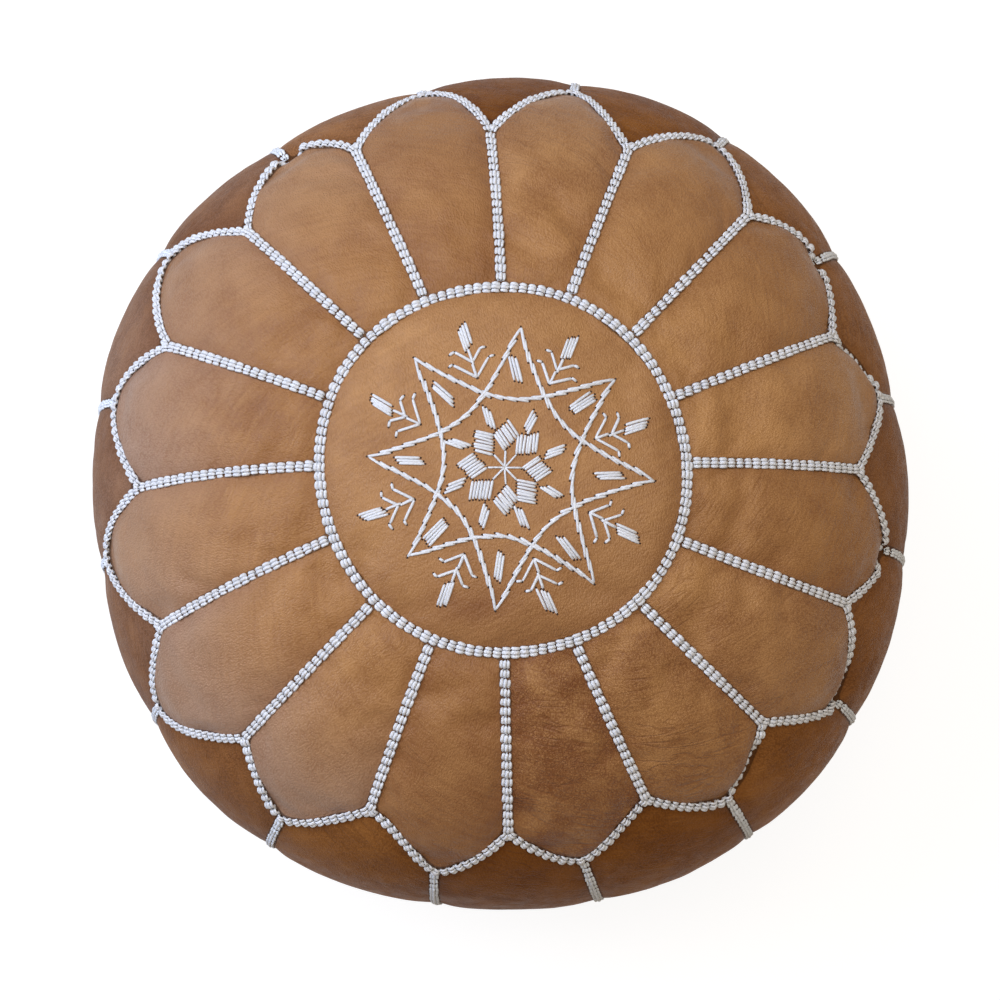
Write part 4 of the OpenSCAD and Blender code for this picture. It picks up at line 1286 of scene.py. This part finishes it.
def muslinMaterial():
    material, tree = newMaterial("unbleachedMuslin")
    place = add(tree, "ShaderNodeTexCoord").outputs["Object"]
    warp, weft = (add(tree, "ShaderNodeTexWave",
                      {"Vector": place, "Scale": muslin["waveScale"], "Distortion": 0.6},
                      wave_type="BANDS", bands_direction=way).outputs["Fac"] for way in ("X", "Z"))
    slubs = add(tree, "ShaderNodeTexNoise",
                {"Vector": place, "Scale": 1 / muslin["slubSize"], "Detail": 4.0})
    weave = add(tree, "ShaderNodeMath", {0: warp, 1: weft}, operation="MULTIPLY")
    shade = add(tree, "ShaderNodeMath", {0: weave, 1: slubs}, operation="MULTIPLY")
    finishPattern(tree, shade, "#b3a58a", "#e6dcc6",
                  {"Strength": 0.4, "Distance": muslin["relief"], "Height": weave},
                  {"Roughness": 0.85, "IOR": 1.53, "Sheen Weight": 0.1})
    return material


# Cotton wadding: soft off-white tufts with darker hollows
tuft = {"size": 14 * mm, "relief": 2 * mm}


def waddingMaterial():
    material, tree = newMaterial("cottonWadding")
    place = add(tree, "ShaderNodeTexCoord").outputs["Object"]
    tufts = add(tree, "ShaderNodeTexNoise",
                {"Vector": place, "Scale": 1 / tuft["size"], "Detail": 8.0, "Roughness": 0.7})
    finishPattern(tree, tufts, "#b9ae9b", "#f0ebe0",
                  {"Strength": 0.8, "Distance": tuft["relief"], "Height": tufts},
                  {"Roughness": 0.95, "IOR": 1.45, "Sheen Weight": 0.2})
    return material


# Inside: a muslin bag and the wadding in it, both hollowed out over the zip
inner = {
    "grid": (56, 16, 96),  # rows down the side, rows under the base, and round
    "bagLift": -4.4 * mm,
    "bagThickness": 1 * mm,
    "fillLift": -7 * mm,
    "fillRoom": 3.2 * mm,  # between the bag's floor and the wadding
    "floorRoom": 3.4 * mm,
    "zipRoom": 4.6 * mm,
    "zipRoomWidth": (18 * mm, 34 * mm),
    "bagFolds": (1.2 * mm, 22 * mm),  # depth and size
    "fillTufts": (2.2 * mm, 16 * mm),
}


def stuffedForm(name, lift, raised, folds, material):
    down, under, around = inner["grid"]
    angle = np.linspace(0, 2 * math.pi, around, endpoint=False)[None, :]
    s = np.linspace(0, baseAt, down + 1)[1:, None]
    sides = onPouf(s, angle, lift)
    rim = np.hypot(sides[-1, :, 0], sides[-1, :, 1])
    share = 1 - np.linspace(0, 1, under + 2)[1:-1, None]
    x, y = rim * share * np.cos(angle), rim * share * np.sin(angle)
    near, far = inner["zipRoomWidth"]

    def floorAt(x, y):
        room = inner["zipRoom"] * (1 - smooth((np.abs(y) - near) / (far - near)))
        return baseHeight(x, y) + inner["floorRoom"] + room + raised

    bottom = np.stack([x, y, floorAt(x, y)], -1)
    top = onPouf(np.array([0.0]), np.array([0.0]), lift)
    foot = np.array([[0, 0, float(floorAt(0.0, 0.0))]])
    points = np.concatenate([top, sides.reshape(-1, 3), bottom.reshape(-1, 3), foot])
    foldDepth, foldSize = folds
    inward = np.array([abs(noise.noise(Vector(p) / foldSize)) for p in points]) * foldDepth
    middle = np.array([0, 0, pouf["waistHeight"]])
    toward = middle - points
    points = points + toward / np.linalg.norm(toward, axis=1, keepdims=True) * inward[:, None]
    rows = down + under
    faces = [(0, 1 + j, 1 + (j + 1) % around) for j in range(around)]
    for i in range(rows - 1):
        for j in range(around):
            a, b = 1 + i * around + j, 1 + i * around + (j + 1) % around
            faces.append((a, a + around, b + around, b))
    last = 1 + (rows - 1) * around
    faces += [(last + j, len(points) - 1, last + (j + 1) % around) for j in range(around)]
    return meshPiece(name, points, faces, material)


bag = stuffedForm("inner_bag_muslin", inner["bagLift"], 0.0, inner["bagFolds"], muslinMaterial())
thicken(bag, inner["bagThickness"], -1)
declare(bag, "pouf", "cotton_bag", "inner_bag")
wadding = stuffedForm("filling_wadding", inner["fillLift"], inner["fillRoom"], inner["fillTufts"],
                      waddingMaterial())
declare(wadding, "pouf", "cotton_filling", "filling")
print("bag and filling made")


# Woven polyester zip tape: a fine herringbone of brown yarn
herringbone = {
    "ribScale": 0.3 / mm,  # ribs 1 mm apart
    "yarnScale": 0.5 / mm,  # yarns 0.6 mm apart, drawn coarser than the real 0.3 mm
    "relief": 0.2 * mm,
}


def tapeMaterial():
    material, tree = newMaterial("wovenZipTape")
    place = add(tree, "ShaderNodeTexCoord").outputs["Object"]
    diagonal = add(tree, "ShaderNodeMapping", {"Vector": place, "Rotation": (0, 0, math.radians(45))})
    rib = add(tree, "ShaderNodeTexWave", {"Vector": diagonal, "Scale": herringbone["ribScale"]},
              wave_type="BANDS", bands_direction="X").outputs["Fac"]
    yarn = add(tree, "ShaderNodeTexWave", {"Vector": place, "Scale": herringbone["yarnScale"]},
               wave_type="BANDS", bands_direction="Y").outputs["Fac"]
    weave = add(tree, "ShaderNodeMath", {0: rib, 1: yarn}, operation="MULTIPLY")
    finishPattern(tree, weave, "#3f2c1c", "#77573a",
                  {"Strength": 0.5, "Distance": herringbone["relief"], "Height": weave},
                  {"Roughness": 0.8, "IOR": 1.58, "Sheen Weight": 0.1})
    return material


# Aged brass: warm yellow metal, browner and duller in its hollows and brushed lengthwise
brassFinish = {
    "strokeSize": 0.35 * mm,
    "strokeStretch": 0.12,
    "tarnishSize": 5 * mm,
    "gloss": (0.24, 0.46),
    "relief": 0.1 * mm,
}


def brassMaterial():
    material, tree = newMaterial("agedBrass")
    place = add(tree, "ShaderNodeTexCoord").outputs["Object"]
    brushed = add(tree, "ShaderNodeMapping",
                  {"Vector": place, "Scale": (brassFinish["strokeStretch"], 1, 1)})
    strokes = add(tree, "ShaderNodeTexNoise",
                  {"Vector": brushed, "Scale": 1 / brassFinish["strokeSize"], "Detail": 2.0})
    tarnish = add(tree, "ShaderNodeTexNoise",
                  {"Vector": place, "Scale": 1 / brassFinish["tarnishSize"], "Detail": 5.0})
    bright, dull = brassFinish["gloss"]
    gloss = add(tree, "ShaderNodeMapRange", {"Value": strokes, "To Min": bright, "To Max": dull})
    finishPattern(tree, tarnish, "#8a6a34", "#c9a45c",
                  {"Strength": 0.15, "Distance": brassFinish["relief"], "Height": strokes},
                  {"Metallic": 1.0, "Roughness": gloss})
    return material


# Zip: brass on the CAD's teeth and slider, and two woven strips for the tapes
tape = {"grid": (160, 8), "ripple": 0.1 * mm, "rippleSize": 9 * mm, "thickness": 0.7 * mm}
brass, tapeCloth = brassMaterial(), tapeMaterial()
for nodeName in ("zip_teeth_front", "zip_teeth_back", "zip_slider", "zip_pull", "zip_stops"):
    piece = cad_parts[nodeName]
    piece.data.materials.clear()
    piece.data.materials.append(brass)


def tapePiece(nodeName):
    low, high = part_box(nodeName)
    rows, cols = tape["grid"]
    x, y = np.meshgrid(np.linspace(low.x, high.x, rows + 1), np.linspace(low.y, high.y, cols + 1),
                       indexing="ij")
    spots = np.stack([x, y, 0 * x], -1).reshape(-1, 3)
    ripple = [noise.noise(Vector(spot) / tape["rippleSize"]) for spot in spots]
    z = (low.z + high.z) / 2 + tape["ripple"] * np.reshape(ripple, x.shape)
    points = np.stack([x, y, z], -1)
    piece = meshPiece(nodeName + "_woven", points, gridFaces(rows, cols).tolist(), tapeCloth)
    thicken(piece, tape["thickness"], 0)
    declare(piece, "pouf", "zip_tape", nodeName)


for nodeName in ("zip_tape_front", "zip_tape_back"):
    tapePiece(nodeName)

# A row of stitches down each side of the zip holds its tape to the base
hem = {
    "fromMiddle": 11.5 * mm,
    "halfLength": 160 * mm,
    "pitch": 6 * mm,
    "stitch": 4.6 * mm,
    "threadWidth": 0.8 * mm,
    "flatness": 0.8,
    "places": [0, 0.12, 0.5, 0.88, 1],
    "lifts": [-0.3 * mm, 0.25 * mm, 0.3 * mm, 0.25 * mm, -0.3 * mm],
    "fullness": [0.8, 1, 1, 1, 0.8],
    "tone": 0.5,
}
waxedThread = threadMaterial("waxedBrownThread", "#94653a", "#4d3019")
lines = []
for label, side in (("front", -1), ("back", 1)):
    face = BVHTree.FromObject(basePieces[label], bpy.context.evaluated_depsgraph_get())
    for x in np.arange(-hem["halfLength"], hem["halfLength"], hem["pitch"]):
        line = []
        for share, lift in zip(hem["places"], hem["lifts"]):
            below = Vector((x + hem["stitch"] * share, side * hem["fromMiddle"], -1))
            spot, normal, _, _ = face.ray_cast(below, Vector((0, 0, 1)))
            line.append(spot + normal * lift)
        lines.append(line)
mesh = lineMesh("zip_hem_line", lines, fullness=[hem["fullness"]] * len(lines),
                beadTone=[np.full(len(line), hem["tone"]) for line in lines])
piece = grow("zip_hem_stitches", mesh, threads,
             {"Width": hem["threadWidth"], "Flatness": hem["flatness"], "Thread": waxedThread})
declare(piece, "pouf", "zip_tape")
print("zip dressed")

# Studio: a white floor, a soft light overhead and a large cooler one from the upper left
studio = {
    "floorSize": 12.0,
    "floorLow": -0.2 * mm,
    "floorGlow": 0.88,  # what the camera sees of the floor is nearly white
    "floorPaper": "#8c8c8c",  # lit by the lamps, it makes up the rest and keeps the shadow
    "overhead": {"at": (0.3, 0.3, 2.9), "size": 2.0, "power": 38.0, "colour": "#fff4e4"},
    "key": {"at": (-1.45, 0.9, 1.85), "size": 2.0, "power": 43.0, "colour": "#d6e4ff"},
    "window": {"at": (-1.75, 0.1, 1.0), "size": 1.0, "power": 10.0, "colour": "#d6e4ff"},
    "ambient": 0.15,
    "roomColour": "#ffd8ac",  # the room's own warm light
    "floorBounce": "#b3a186",
    "backdrop": 0.96,
}


def placeLight(name):
    facts = studio[name]
    lamp = bpy.data.lights.new(name, "AREA")
    lamp.size = facts["size"]
    lamp.energy = facts["power"]
    lamp.color = linear(facts["colour"])[:3]
    made = bpy.data.objects.new(name, lamp)
    aim = Vector((0, 0, pouf["waistHeight"])) - Vector(facts["at"])
    made.location = facts["at"]
    made.rotation_euler = aim.to_track_quat("-Z", "Y").to_euler()
    scene.collection.objects.link(made)


# 1 for what the camera sees, straight, mirrored or through glass
def seenRays(tree):
    rays = add(tree, "ShaderNodeLightPath").outputs
    seen = add(tree, "ShaderNodeMath", {0: rays["Is Camera Ray"], 1: rays["Is Glossy Ray"]},
               operation="MAXIMUM")
    return add(tree, "ShaderNodeMath", {0: seen, 1: rays["Is Transmission Ray"]}, operation="MAXIMUM")


def placeFloor():
    half, low = studio["floorSize"] / 2, studio["floorLow"]
    mesh = bpy.data.meshes.new("floor")
    mesh.from_pydata([(-half, -half, low), (half, -half, low), (half, half, low), (-half, half, low)], [],
                     [(0, 1, 2, 3)])
    material, tree = newMaterial("whitePaperFloor")
    paper = add(tree, "ShaderNodeBsdfDiffuse", {"Color": linear(studio["floorPaper"])})
    glow = add(tree, "ShaderNodeEmission", {"Color": (1, 1, 1, 1), "Strength": studio["floorGlow"]})
    lit = add(tree, "ShaderNodeAddShader", {0: paper, 1: glow})
    bounce = add(tree, "ShaderNodeBsdfDiffuse", {"Color": linear(studio["floorBounce"])})
    shader = add(tree, "ShaderNodeMixShader", {0: seenRays(tree), 1: bounce, 2: lit})
    add(tree, "ShaderNodeOutputMaterial", {"Surface": shader})
    mesh.materials.append(material)
    floor = bpy.data.objects.new("floor", mesh)
    scene.collection.objects.link(floor)


def lightRoom():
    world = bpy.data.worlds.new("studio")
    world.use_nodes = True
    tree = world.node_tree
    tree.nodes.clear()
    seen = seenRays(tree)
    level = add(tree, "ShaderNodeMapRange",
                {"Value": seen, "To Min": studio["ambient"], "To Max": studio["backdrop"]})
    colour = add(tree, "ShaderNodeMix", {"Factor": seen, 6: linear(studio["roomColour"]), 7: (1, 1, 1, 1)},
                 data_type="RGBA")
    light = add(tree, "ShaderNodeBackground", {"Color": colour, "Strength": level})
    add(tree, "ShaderNodeOutputWorld", {"Surface": light})
    scene.world = world


placeFloor()
for name in ("overhead", "key", "window"):
    placeLight(name)
lightRoom()
scene.view_settings.view_transform = "Standard"
print("studio lit")
